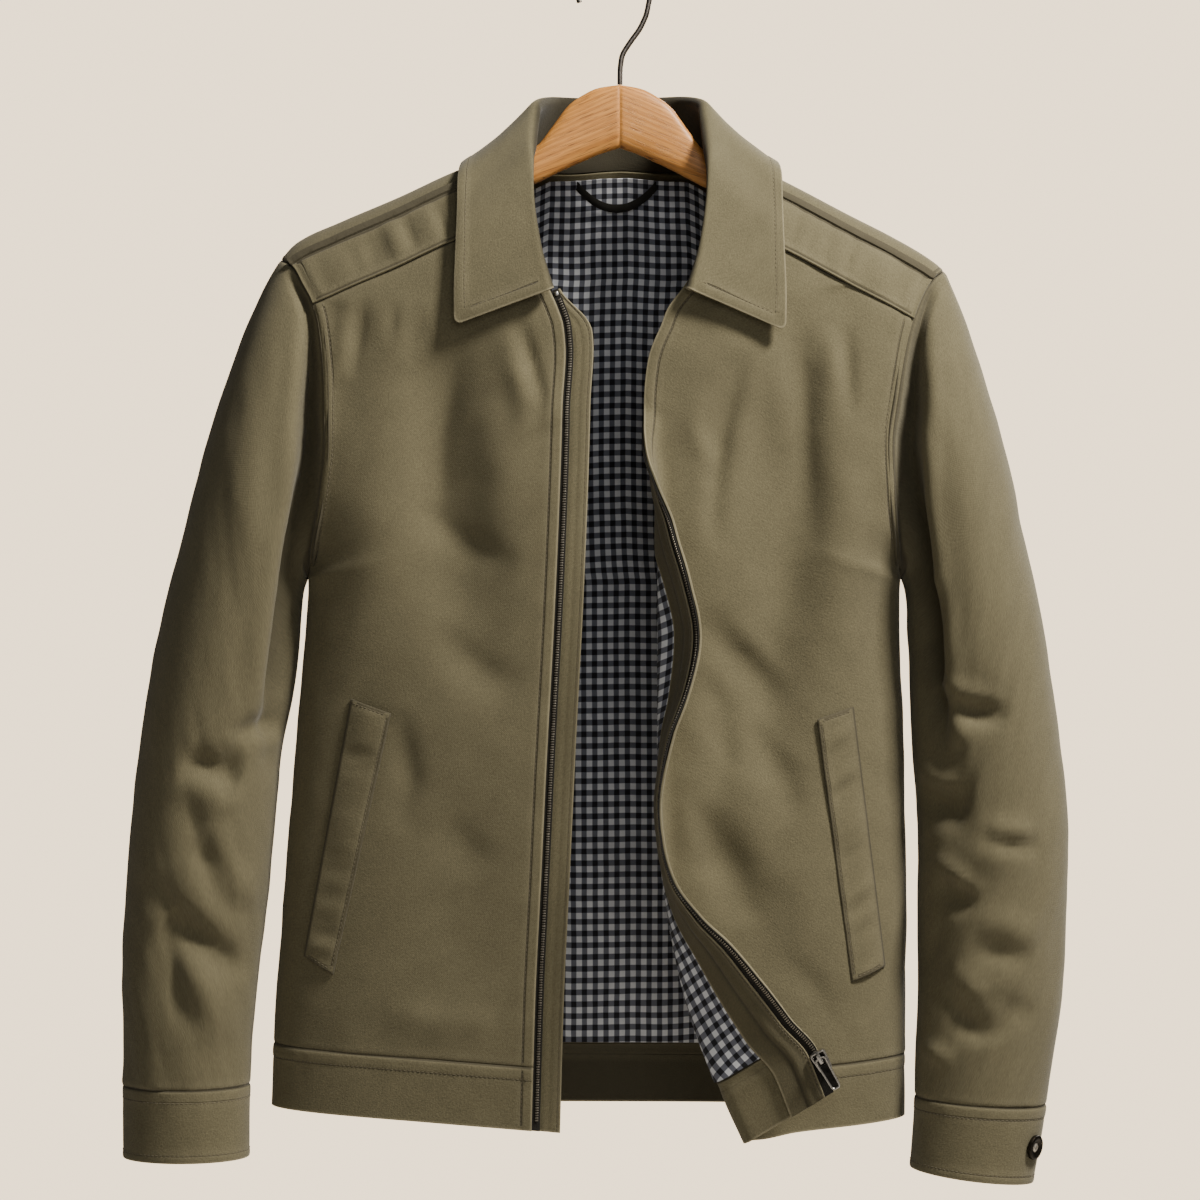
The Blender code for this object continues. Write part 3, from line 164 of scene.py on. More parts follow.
# The neckline and front edge, by height. A front's outer part runs flat from the side to the fold,
# and its strip from there to the edge turns forward and back on itself by `turn` degrees, less `relax`
# at its end. `lean` is the rise of the turned strip, in degrees.
frontEdge = {
    "right": Rows(
        "z fold turn relax strip lean",
        [
            (-137, -89, 0, 0, 20, 0), (-165, -86, 0, 0, 20, 0), (-200, -80, 0, 0, 20, 0),
            (-230, -72, 0, 0, 20, 0), (-243, -66, 0, 0, 20, 0), (-259, -58.5, 0, 0, 20, 0),
            (-271, -54.5, 0, 0, 20, 0), (-290, -53, 0, 0, 20, 0), (-325, -55, 0, 0, 20, 0),
            (-370, -56.5, 0, 0, 20, 0), (-452, -60, 0, 0, 20, 0), (-562, -66, 0, 0, 20, 0),
            (-644, -70, 0, 0, 20, 0), (-726, -74, 0, 0, 20, 0), (-830, -77, 0, 0, 20, 0),
        ],
    ),
    "left": Rows(
        "z fold turn relax strip lean",
        [
            (-137, 97, 0, 0, 20, 0), (-165, 94, 0, 0, 20, 0), (-200, 87, 0, 0, 20, 0),
            (-230, 77, 0, 0, 20, 0), (-243, 69.5, 0, 0, 20, 0), (-259, 60, 0, 0, 23, 0),
            (-271, 46.6, 0, 0, 16, 0), (-294, 37.3, 0, 0, 15, 0), (-322, 34, 6, 0, 14, 0),
            (-347, 34, 45, 0, 18, 0), (-370, 36, 82, 0, 26, 0), (-395, 38, 110, 4, 36, 0),
            (-417, 38, 134, 20, 45, 0), (-440, 38, 156, 42, 53, 0), (-478, 38, 168, 55, 60, 0),
            (-520, 38, 157, 54, 57, 0), (-545, 38, 129, 34, 53, 0), (-570, 38, 105, 14, 51, 0),
            (-592, 38, 92, 2, 49, 0), (-615, 39, 93, 2, 51, 4), (-640, 41, 101, 4, 53, 10),
            (-668, 45, 119, 4, 57, 18), (-700, 51, 139, 4, 66, 26), (-729, 58, 152, 3, 72, 31),
            (-766, 71, 168, 1, 78, 32), (-795, 83, 174, 0, 86, 32), (-830, 99, 174, 0, 84, 32),
        ],
    ),
}
curlRadius = 7.0
curlSteps = 60
relaxLength = 24.0  # the turned strip relaxes over this length, and keeps its new turn from there on
relaxedLength = 20.0
edgeMargin = 24.0  # how far past the front edge the sheet is worked out, for the zip guard and tape
nearColumns = 80.0  # columns up to here are distances from the front edge; the side seam is 100 past it
pastSeam = 1.08  # the sheet is worked out a little past the side seam
settleRounds = 14  # rounds in which a point's height and its place settle together

# The hem's lower edge
hemLine = Rows(
    "x z",
    [
        (-240, -804), (-150, -808.5), (-57, -815), (40, -823), (99, -821.5), (125, -817),
        (170, -813.5), (204, -811),
    ],
)
backHemLine = Rows("x z", [(-240, -804), (-205, -808), (-150, -811), (150, -812), (204, -811)])

# Soft folds: each runs from one point to another, with its width and its height (negative is a trough).
frontFolds = [
    (-176, -250, -192, -330, 18, -4), (-140, -270, -118, -470, 30, -4), (-60, -290, -44, -335, 14, 3),
    (-120, -560, -100, -740, 34, -3), (152, -236, 163, -300, 16, -4), (117, -285, 84, -425, 20, -6),
    (78, -490, 96, -570, 22, -4), (62, -600, 116, -700, 20, -6), (140, -330, 150, -480, 26, 4),
]
backFolds = [
    (-150, -300, -120, -520, 30, -5), (140, -310, 110, -540, 30, -5), (-40, -420, -60, -700, 32, 4),
    (60, -480, 40, -740, 32, 4),
]

# The sleeves, by station from the armhole to the end of the cuff. Each ring runs from an outer point to
# an inner point, both seen from the front; pinch draws its front and back in beside the armhole.
sleeveRings = {
    "right": Rows(
        "station outerX outerZ innerX innerZ depth middle pinch",
        [
            (0, 232.5, -214, 213, -437, 46, 0, 0), (3, 239, -222, 214.5, -439, 48, 0, 3),
            (6, 245, -233, 215.5, -441, 50, 0, 3), (14, 261, -270, 217.5, -448, 54, 0, 0),
            (24, 284, -338, 218.5, -460, 57, -1, 0), (36, 306, -424, 220, -487, 57, -2, 0),
            (48, 321, -487, 225, -520, 55, -4, 0), (58, 331, -555, 233, -560, 52, -6, 0),
            (68, 338, -622, 237.5, -622, 49, -8, 0), (80, 342.5, -700, 246.5, -700, 45, -10, 0),
            (100, 342, -789, 253.5, -789, 39, -12, 0), (108, 341.5, -839, 254, -839, 38, -13, 0),
        ],
    ),
    "left": Rows(
        "station outerX outerZ innerX innerZ depth middle pinch",
        [
            (0, 230.5, -222, 200, -437, 46, 0, 0), (3, 236, -230, 201.5, -439, 48, 0, 3),
            (6, 241, -243, 202.5, -441, 50, 0, 3), (14, 253, -279, 204, -448, 54, 0, 0),
            (24, 272, -343, 204.5, -460, 57, -1, 0), (36, 290, -425, 205.5, -487, 57, -2, 0),
            (48, 302, -488, 207, -520, 55, -4, 0), (58, 311, -553, 208.5, -560, 52, -6, 0),
            (68, 316, -622, 212.5, -622, 49, -8, 0), (80, 314, -700, 212.5, -700, 45, -10, 0),
            (100, 301, -803, 209.5, -797, 39, -12, 0), (108, 291.5, -856.5, 206, -846.5, 38, -13, 0),
        ],
    ),
}
sleeveBlend = 24.0  # the station where the armhole's shape has given way to plain rings
cuffStation = 100.0
sleeveFolds = {
    "right": [
        (-293, -560, -258, -578, 14, -5), (-285, -623, -248, -641, 14, -5),
        (-308, -672, -258, -709, 14, -6),
    ],
    "left": [
        (218, -512, 268, -528, 14, -5), (208, -576, 242, -591, 15, -8), (221, -633, 286, -617, 14, 4),
        (253, -720, 258, -755, 13, -4),
    ],
}

# The collar by station, from the middle of the back to its front end: the roll and the free edge.
# Sideways places are counted from the collar's middle.
collarTable = Rows(
    "station rollX rollY rollZ edgeX edgeY edgeZ bow",
    [
        (0, 0, 50, -94, 0, 60, -160, 2), (1, 41, 35, -95, 74, 41, -158, 2),
        (1.5, 51, 20, -98, 96, 24, -153, 0), (2, 56.5, 3, -105, 111, 3, -145.5, -2),
        (2.25, 57.5, -6, -117, 112.5, -24, -158, -2), (2.5, 58.5, -16, -130, 112.5, -33, -176, -1),
        (3, 59.5, -34, -160, 113, -44, -203, 0), (4, 54.5, -51, -206, 114, -52, -240, 0),
        (5, 45.5, -60, -239, 113.5, -55, -264, 0),
    ],
)
collarLeftDrop = 4.0  # the left leaf hangs this much lower at its tip

# The hanger's wood, by distance from its middle: the dome between the two arms
hangerDome = Rows(
    "distance top bottom",
    [
        (0, -91.7, -135.8), (15, -94.2, -141), (26, -99.5, -146), (36, -107, -150.5),
        (47, -121.5, -156), (59, -136.5, -162), (74, -143, -167),
    ],
)
hangerTilt = 0.02
hangerSeat = 3.6  # the arms' top, below the shoulder ridge
hangerHalfLength = 206.0
hangerHalfThickness = 7.0
hangerArmHeight = 24.0
hangerTipHeight = 17.0
domeEnd = 60  # the dome's top runs into the arm's from here on
domeBlend = 16
lowDomeEnd = 56  # the same along its lower side
lowDomeBlend = 40

hookWireRadius = 1.9
hookRadius = 26.0
hookStem = [(4.2, -91.3), (4.3, -80), (5.6, -70.5), (11.5, -61.5), (18.2, -52.5), (22.8, -42.5)]
hookArc = (-18.0, 202.0)

# Pocket welts: the corners of each, seen from the front
weltCorners = {
    "right": [(-181, -520), (-153, -530), (-193, -710), (-214, -698)],
    "left": [(139, -534), (164.5, -525.5), (187, -705), (163, -715)],
}

# The loop at the back neck, seen from the front
loopEnds = 30.0
loopTop = -151.0
loopDip = 18.0
loopHeight = 5.5


def ease(t):
    t = np.clip(t, 0, 1)
    return t * t * (3 - 2 * t)


def unit(vectors):
    return vectors / np.maximum(np.linalg.norm(vectors, axis=-1, keepdims=True), 1e-9)


def bell(distance, width):
    return np.exp(-((distance / width) ** 2))


def runOf(points):
    # how far along a line each of its points is
    return np.concatenate([[0], np.cumsum(np.linalg.norm(np.diff(points, axis=0), axis=1))])


def sampled(at, run, values):
    # a line's values, column by column, read at these distances
    return np.stack([np.interp(at, run, column) for column in np.asarray(values).T], axis=-1)


def foldHeight(folds, x, z):
    height = np.zeros(np.broadcast(x, z).shape)
    for x0, z0, x1, z1, width, rise in folds:
        length = math.hypot(x1 - x0, z1 - z0)
        t = np.clip(((x - x0) * (x1 - x0) + (z - z0) * (z1 - z0)) / length**2, 0, 1)
        away = np.hypot(x - (x0 + t * (x1 - x0)), z - (z0 + t * (z1 - z0)))
        height = height + rise * np.sqrt(np.sin(np.pi * t)) * bell(away, width)
    return height


# The body's surface


def reachAt(x, z):
    return np.where(x < 0, torsoTable("reachRight", z), torsoTable("reachLeft", z))


def crown(x, z, back):
    # how much of its depth the body has at this drop from the shoulder ridge
    span = shoulderRound
    if back:
        span = neckRound + (shoulderRound - neckRound) * np.clip(np.abs(x) / shoulderReach, 0, 1)
    t = np.clip((ridgeLine("z", x) - z) / span, 0, 1)
    return (1 - (1 - t) ** 2) ** crownPower


def depthAt(x, z, back):
    share = np.clip(np.abs(x) / reachAt(x, z), 0, 1)
    lateral = (1 - share**squareness) ** (1 / squareness)
    plain = torsoTable("back" if back else "front", z) * crown(x, z, back) * lateral
    return plain + foldHeight(backFolds if back else frontFolds, x, z) * ease(2 * lateral - 0.4)


def bodyPoint(x, z, back):
    y = depthAt(x, z, back) * (1 if back else -1)
    return np.stack(np.broadcast_arrays(x, y, z), axis=-1)


def angleOf(x, z):
    return np.arcsin(np.clip(np.abs(x) / reachAt(x, z), 0, 1) ** (squareness / 2))


def roundSection(side, angle, z):
    return sides[side] * torsoTable("reach" + side.title(), z) * np.abs(np.sin(angle)) ** (2 / squareness)


def outerAngle(side, z):
    seam = sides[side] * armholeLine[side]("x", z)
    return np.where(z > underarmHeight, angleOf(seam, z), math.pi / 2)


def bandTop(x, back):
    return (backHemLine if back else hemLine)("z", x) + hemBandHeight


def rowHeight(x, row, back, top):
    # rows run from 0 at the top to 1 at the hem band's seam, and to 2 at its lower edge
    seam = bandTop(x, back)
    upper = top(x) * (1 - row) + seam * row
    return np.where(row <= 1, upper, seam - hemBandHeight * (row - 1))


def frontTop(x):
    return ridgeLine("z", x) - yokeLowerDrop


def curl(start, along, turn, relax, lean, length, side):
    # the strip past a front's fold, turned forward and back on itself
    steps = np.linspace(0, length, curlSteps)
    bend = np.radians(turn) * np.clip(steps / max(curlRadius * math.radians(turn), 1e-3), 0, 1)
    relaxing = steps - length + edgeMargin + relaxedLength + relaxLength
    bend = bend - math.radians(relax) * ease(relaxing / relaxLength)
    onward = unit(np.array(along))
    returned = np.array([sides[side] * math.cos(math.radians(lean)), 0, math.sin(math.radians(lean))])
    forward = np.array([0.0, -1.0, 0.0])
    cosine, sine = np.cos(bend)[:, None], np.sin(bend)[:, None]
    way = unit(np.where(cosine > 0, cosine * onward, -cosine * returned) + sine * forward)
    run = np.concatenate([[0], np.diff(steps)])[:, None]
    return steps, start + np.cumsum(way * run, axis=0)


def frontLine(side, row):
    # one row of a front: its points from the free edge to the side, and the column of each
    table = frontEdge[side]
    sign = sides[side]
    x, z = sign * 80.0, -500.0
    for _ in range(settleRounds):
        z = rowHeight(x, row, False, frontTop)
        x = float(table("fold", z))
    foldAngle = float(angleOf(x, z))
    share = np.linspace(0, pastSeam, 66)
    heights = np.full(len(share), float(z))
    for _ in range(settleRounds):
        angles = foldAngle + (outerAngle(side, heights) - foldAngle) * share
        places = roundSection(side, angles, heights)
        heights = rowHeight(places, row, False, frontTop)
    flat = bodyPoint(places, heights, False)
    flat[angles > math.pi / 2, 1] *= -1
    strip, turn = float(table("strip", z)), float(table("turn", z))
    length = strip + edgeMargin
    relax, lean = float(table("relax", z)), float(table("lean", z))
    steps, turned = curl(flat[0], flat[0] - flat[1], turn, relax, lean, length, side)
    levelX = x - sign * steps
    level = bodyPoint(levelX, rowHeight(levelX, row, False, frontTop), False)
    stripPoints = level + (turned - level) * ease(turn / 18)
    line = np.concatenate([stripPoints[:0:-1], flat])
    run = runOf(line)
    edgeRun = np.interp(edgeMargin, steps, np.linspace(0, run[curlSteps - 1], curlSteps))
    distance = run - edgeRun
    seam = np.interp(1.0, share, distance[-len(share):])
    shares = nearColumns + 100 * (distance - nearColumns) / (seam - nearColumns)
    places = np.where(distance < nearColumns, distance, shares)
    return line, places, (strip, curlRadius * math.radians(turn))


def backTop(x):
    return np.full(np.shape(x), backYokeHeight)


def liningTop(x):
    across = np.clip(np.abs(x - collarMiddle) / neckHalfWidth, 0, 1)
    return ridgeLine("z", x) - np.maximum(neckBackDrop * np.sqrt(1 - across**2) + liningGap, liningDrop)


def chartPoint(x, drop):
    # a point of the shoulders by its drop from the ridge, behind it or, where negative, before it
    x, drop = np.broadcast_arrays(np.asarray(x, float), np.asarray(drop, float))
    z = ridgeLine("z", x) - np.abs(drop)
    y = np.where(drop > 0, depthAt(x, z, True), -depthAt(x, z, False))
    return np.stack([x, np.where(drop == 0, 0, y), z], axis=-1)


def armholeX(side, drop):
    heights = np.linspace(armholeLine[side].keys[-1], armholeLow, 160)
    places = sides[side] * armholeLine[side]("x", heights)
    return np.interp(np.abs(drop), ridgeLine("z", places) - heights, places)


def necklineX(side, drop):
    heights = np.linspace(neckTop, frontNeckHeight, 60)
    table = frontEdge[side]
    places = table("fold", heights) - sides[side] * table("strip", heights)
    return np.interp(np.abs(drop), ridgeLine("z", places) - heights, places)


def yokeRims(side):
    # a half of the back yoke between two rims: the neck, and the yoke's seam with the armhole.
    # Points are places across and drops from the ridge, and keys are shares along a rim.
    sign = sides[side]
    turn = np.radians(np.linspace(0, 90, 20))
    around = collarMiddle + sign * neckHalfWidth * np.sin(turn)
    neck = [np.stack([around, neckBackDrop * np.cos(turn)], axis=-1)]
    front = -np.linspace(0, yokeUpperDrop, 6)[1:]
    neck.append(np.stack([necklineX(side, front), front], axis=-1))
    across = np.linspace(0, sign * float(armholeLine[side]("x", backYokeHeight)), 12)
    outer = [np.stack([across, ridgeLine("z", across) - backYokeHeight], axis=-1)]
    for drops in (np.linspace(outer[0][-1, 1], 0, 16)[1:], front):
        outer.append(np.stack([armholeX(side, drops), drops], axis=-1))
    neckKeys = [np.linspace(0, 0.7, 20), np.linspace(0.7, 1, 6)[1:]]
    outerKeys = [np.linspace(0, 0.45, 12), np.linspace(0.45, 0.7, 16)[1:], np.linspace(0.7, 1, 6)[1:]]
    return (np.concatenate(part) for part in (neck, neckKeys, outer, outerKeys))


def inwardOf(points, back):
    step = 0.4
    x, y, z = points[..., 0], points[..., 1], points[..., 2]
    slopeX = (depthAt(x + step, z, back) - depthAt(x - step, z, back)) / (2 * step)
    slopeZ = (depthAt(x, z + step, back) - depthAt(x, z - step, back)) / (2 * step)
    return unit(np.stack([slopeX, -np.sign(y), slopeZ], axis=-1))


def armholeRing(side, turns):
    top = armholeLine[side].keys[-1]
    z = top + (underarmHeight - top) * (1 - np.cos(turns)) / 2
    x = sides[side] * armholeLine[side]("x", z)
    y = np.where(np.sin(turns) >= 0, -depthAt(x, z, False), depthAt(x, z, True))
    y = np.where(np.abs(np.sin(turns)) < 1e-6, 0, y)
    return np.stack([x, y, z], axis=-1)


def collarSection(station, side):
    # from the neck seam up the stand, over the roll and down the fall to the free edge
    sign = sides[side]
    row = {name: float(collarTable(name, station)) for name in collarTable.columns}
    roll, edge = (
        np.array([collarMiddle + sign * row[part + "X"], row[part + "Y"], row[part + "Z"]])
        for part in ("roll", "edge")
    )
    if side == "left":
        edge[2] -= collarLeftDrop * ease((station - 2) / 3)
    neck = neckSeam(station, side)
    up = unit(unit(roll - neck) + unit(roll - edge))
    out = edge - neck
    out = unit(out - up * np.dot(out, up))
    middle = roll - up * collarRollRadius
    bends = np.radians(np.linspace(180, 0, 9))
    arc = [middle + collarRollRadius * (math.cos(bend) * out + math.sin(bend) * up) for bend in bends]
    stand = [neck + (arc[0] - neck) * t for t in (0, 0.5)]
    bows = {t: out * row["bow"] * math.sin(math.pi * t) for t in (0.25, 0.5, 0.75, 1)}
    return np.array(stand + arc + [arc[-1] + (edge - arc[-1]) * t + bow for t, bow in bows.items()])


def neckSeam(station, side):
    if station < 2:
        turn = math.radians(45 * station)
        x = collarMiddle + sides[side] * neckHalfWidth * math.sin(turn)
        drop = neckBackDrop * math.cos(turn)
    else:
        end = float(ridgeLine("z", frontNeckX[side])) - frontNeckHeight
        drop = -end * ((station - 2) / 3) ** 1.2
        x = float(necklineX(side, drop))
    point = chartPoint(x, drop)
    if abs(drop) < 2:
        outward = np.array([0, 0, 1.0])
    else:
        outward = -inwardOf(point, drop > 0)
    return point + outward * neckSeat


def hangerProfile(x):
    distance = abs(x - collarMiddle)
    tilt = -hangerTilt * (x - collarMiddle)
    arm = float(ridgeLine("z", x)) - hangerSeat
    dome = float(hangerDome("top", distance)) + tilt
    share = float(ease((distance - domeEnd) / domeBlend))
    top = dome + (min(dome, arm) - dome) * share if distance < domeEnd + domeBlend else arm
    height = hangerArmHeight + (hangerTipHeight - hangerArmHeight) * (distance / hangerHalfLength) ** 2
    low = float(hangerDome("bottom", distance)) + tilt
    return top, low + (top - height - low) * float(ease((distance - lowDomeEnd) / lowDomeBlend))


def wander(seed, place, size):
    # a smooth wave along a line, from -1 to 1, the same on every run
    knots = np.random.default_rng(seed).uniform(-1, 1, 997)
    step = np.asarray(place, float) / size + 331.7
    low = np.floor(step).astype(int)
    share = ease(step - low)
    return knots[low % 997] * (1 - share) + knots[(low + 1) % 997] * share


def drift(seed, across, down, size):
    # the same over a surface
    knots = np.random.default_rng(seed).uniform(-1, 1, (97, 97))
    u, v = np.asarray(across) / size + 31.3, np.asarray(down) / size + 17.9
    i, j = np.floor(u).astype(int), np.floor(v).astype(int)
    s, t = ease(u - i), ease(v - j)
    i, j = i % 96, j % 96
    upper = knots[i, j] * (1 - s) + knots[i + 1, j] * s
    return upper * (1 - t) + (knots[i, j + 1] * (1 - s) + knots[i + 1, j + 1] * s) * t


def creased(folds, x, z):
    # height of drawn folds: each has a path, a width, a rise, and how much steeper one side is
    height = np.zeros(np.shape(x))
    for path, width, rise, steep in folds:
        path = np.array(path, float)
        legs = np.linalg.norm(np.diff(path, axis=0), axis=1)
        run = np.concatenate([[0], np.cumsum(legs)]) / legs.sum()
        near, place, side = np.full(np.shape(x), 1e9), np.zeros(np.shape(x)), np.zeros(np.shape(x))
        for (x0, z0), (x1, z1), leg, start, end in zip(path, path[1:], legs, run, run[1:]):
            t = np.clip(((x - x0) * (x1 - x0) + (z - z0) * (z1 - z0)) / leg**2, 0, 1)
            gapX, gapZ = x - (x0 + t * (x1 - x0)), z - (z0 + t * (z1 - z0))
            away = np.hypot(gapX, gapZ)
            closer = away < near
            near, place = np.where(closer, away, near), np.where(closer, start + t * (end - start), place)
            side = np.where(closer, ((x1 - x0) * gapZ - (z1 - z0) * gapX) / (leg * width), side)
        wide = width / (1 + steep * ease(side + 0.5))
        height += rise * np.sin(np.pi * np.clip(place, 0, 1)) * bell(near, wide)
    return height


def spaced(length, step, first=True, last=True):
    # shares from 0 to 1 along a length, closer together beside its ends
    near = np.array([0, 0.8, 1.8, 3.2, 5.0, 7.0])
    low, high = (9.0 if first else 0.0), length - (9.0 if last else 0.0)
    middle = np.linspace(low, high, max(2, round((high - low) / step) + 1))
    parts = [near] * first + [middle] + [length - near[::-1]] * last
    return np.concatenate(parts) / length


def gridInward(points, flip=False, closed=False):
    along = np.gradient(points, axis=0)
    if closed:
        across = np.roll(points, -1, axis=1) - np.roll(points, 1, axis=1)
    else:
        across = np.gradient(points, axis=1)
    inward = unit(np.cross(along, across))
    return -inward if flip else inward


# A seam's dip and a thread's dip reach this far to each side, and the puckers beside it further
sewing = {"seamReach": 1.5, "threadDip": 0.28, "threadReach": 0.9, "puckerReach": 8, "far": 40.0}
calming = {"rounds": 40, "share": 0.25, "border": 10, "blend": 30}


class Cloth:
    # a grid of points with the way into the cloth, and each point's distance from the four borders
    def __init__(self, points, inward, closed=False):
        self.points, self.inward, self.closed = np.array(points), inward, closed
        rows, columns = self.points.shape[:2]
        steps = np.linalg.norm(np.diff(self.points, axis=0), axis=2)
        self.down = np.concatenate([np.zeros((1, columns)), np.cumsum(steps, axis=0)])
        steps = np.linalg.norm(np.diff(self.points, axis=1), axis=2)
        self.across = np.concatenate([np.zeros((rows, 1)), np.cumsum(steps, axis=1)], axis=1)
        self.away = {
            "top": self.down,
            "bottom": self.down[-1] - self.down,
            "first": self.across,
            "last": self.across[:, -1:] - self.across,
        }
        self.thread = np.full((rows, columns), sewing["far"])  # how far the nearest sewn line is, which sets the painted groove shadow
        self.rim = np.full((rows, columns), sewing["far"])  # how far the nearest free edge is, which sets the painted highlight there
        self.shade = np.zeros((rows, columns))  # 1 where painted shade darkens the cloth: armhole valleys, collar stand, facing creases, pocket openings
        self.lines = []

    def lift(self, height):
        self.points = self.points - self.inward * height[..., None]
        return self

    def uneven(self, *waves):
        # small waves over the cloth: the seed, height and size of each
        return self.lift(sum(rise * drift(seed, self.across, self.down, size) for seed, rise, size in waves))

    def fold(self, folds, share=1.0):
        # draws folds over the cloth, then finds the way into it again
        self.lift(creased(folds, self.points[..., 0], self.points[..., 2]) * share)
        fresh = gridInward(self.points, closed=self.closed)
        self.inward = fresh * np.sign((fresh * self.inward).sum(axis=-1, keepdims=True))
        return self

    def calmed(self, share):
        # evens out small knees down the cloth, away from its borders
        depth = self.points[..., 1]
        border, blend = calming["border"], calming["blend"]
        for away in (self.down, self.down[-1] - self.down):
            share = share * ease((away - border) / blend)
        for _ in range(calming["rounds"]):
            depth[1:-1] += calming["share"] * share[1:-1] * (depth[:-2] - 2 * depth[1:-1] + depth[2:])
        return self

    def along(self, border):
        return self.across if border in ("top", "bottom") else self.down

    def span(self, border, start, end):
        # 1 between the two places along a border, and 0 past them
        along = self.along(border)
        full = along[:, -1:] if border in ("top", "bottom") else along[-1:]
        return ease((along - start + 3) / 6) * ease((full - end - along + 3) / 6)

    def seam(self, border, dip=0.9, drawn=True):
        # a drawn seam also gets the painted shadow of a sewn groove
        if drawn:
            self.thread = np.minimum(self.thread, self.away[border] * 0.8)
        return self.lift(-dip * bell(self.away[border], sewing["seamReach"]))

    def cornered(self, row, column, radius):
        # rounds a corner: points near both borders move in along the cloth
        a, b = self.away[row], self.away[column]
        u, v = np.clip((radius - a) / radius, 0, 1), np.clip((radius - b) / radius, 0, 1)
        shift = (1 - np.maximum(u, v) / np.maximum(np.hypot(u, v), 1e-6)) * radius
        wayA, wayB = np.gradient(self.points, axis=0), np.gradient(self.points, axis=1)
        wayA = unit(wayA) * (1 if row == "top" else -1)
        wayB = unit(wayB) * (1 if column == "first" else -1)
        self.points = self.points + (wayA * (u * shift)[..., None] + wayB * (v * shift)[..., None])
        return self

    def tuck(self, border, reach=4.5, depth=1.9, share=1.0):
        # the seam allowance: a strip that runs on past the border, under the next piece
        side = border in ("first", "last")
        layers = {}
        for name in ("points", "inward", "down", "across", "thread", "rim", "shade"):
            layer = getattr(self, name)
            layer = np.moveaxis(layer, 1, 0) if side else layer
            layers[name] = layer[::-1] if border in ("bottom", "last") else layer
        points, inward = layers["points"], layers["inward"]
        way = points[0] - points[2]
        way = unit(way - inward[0] * (way * inward[0]).sum(axis=-1, keepdims=True))
        share = np.broadcast_to(share, points.shape[1])[:, None]
        strips = ((reach, depth), (0.5, depth * 0.8))
        rows = [points[0] + (way * out + inward[0] * sunk) * share for out, sunk in strips]
        for name, layer in layers.items():
            if name == "points":
                new = np.array(rows)
            elif name in ("down", "across"):
                apart = np.linalg.norm(points[0] - points[1], axis=-1)
                step = (layer[0] - layer[1]) / np.maximum(apart, 1e-6)
                new = np.array([layer[0] + step * out for out in (reach + 1, 1.0)])
            else:
                new = np.array([layer[0], layer[0]])
            layer = np.concatenate([new, layer])
            layer = layer[::-1] if border in ("bottom", "last") else layer
            setattr(self, name, np.moveaxis(layer, 0, 1) if side else layer)
        return self

    def edge(self, *borders):
        for border in borders:
            self.rim = np.minimum(self.rim, self.away[border])
        return self

    def topstitch(self, border, offset, start=0.0, end=0.0, rise=0.35, pucker=0.35, seed=1, size=9.0):
        # the doubled cloth between the border and the line stands out, and the thread draws it in
        away, use = self.away[border], self.span(border, start, end)
        doubled = ease(away / 1.5) * ease((offset + 0.6 - away) / 1.2)
        drawn = bell(away - offset, sewing["threadReach"])
        spread = np.exp(-np.abs(away - offset) / sewing["puckerReach"]) * (0.35 + 0.65 * ease(away / 2))
        waves = wander(seed, self.along(border), size)
        self.lift(use * (rise * doubled - sewing["threadDip"] * drawn + pucker * spread * waves))
        self.thread = np.minimum(self.thread, np.abs(away - offset) + sewing["far"] * (1 - use))
        self.lines.append((border, offset, start, end))
        return self

    def line(self, border, offset, start=0.0, end=0.0):
        # points and outward directions along a border, this far in from it
        away, grid, out = self.away[border], self.points, -self.inward
        if border in ("top", "bottom"):
            away, grid, out = away.T, grid.transpose(1, 0, 2), out.transpose(1, 0, 2)
        if border in ("bottom", "last"):
            away, grid, out = away[:, ::-1], grid[:, ::-1], out[:, ::-1]
        points, out = (
            np.array([sampled(offset, a, row) for a, row in zip(away, layer)]) for layer in (grid, out)
        )
        run = runOf(points)
        keep = (run >= start) & (run <= run[-1] - end)
        return points[keep], unit(out[keep])


def chosen(piece):
    # the one selected object, and the active one
    bpy.ops.object.select_all(action="DESELECT")
    piece.select_set(True)
    bpy.context.view_layer.objects.active = piece


def placed(name, data):
    made = bpy.data.objects.new(name, data)
    bpy.context.scene.collection.objects.link(made)
    return made


def modified(piece, kind, **settings):
    # adds a modifier and applies it
    chosen(piece)
    modifier = piece.modifiers.new(kind.title(), kind)
    for key, value in settings.items():
        setattr(modifier, key, value)
    bpy.ops.object.modifier_apply(modifier=modifier.name)


def shaded(piece, degrees):
    chosen(piece)
    bpy.ops.object.shade_smooth_by_angle(angle=math.radians(degrees), keep_sharp_edges=False)


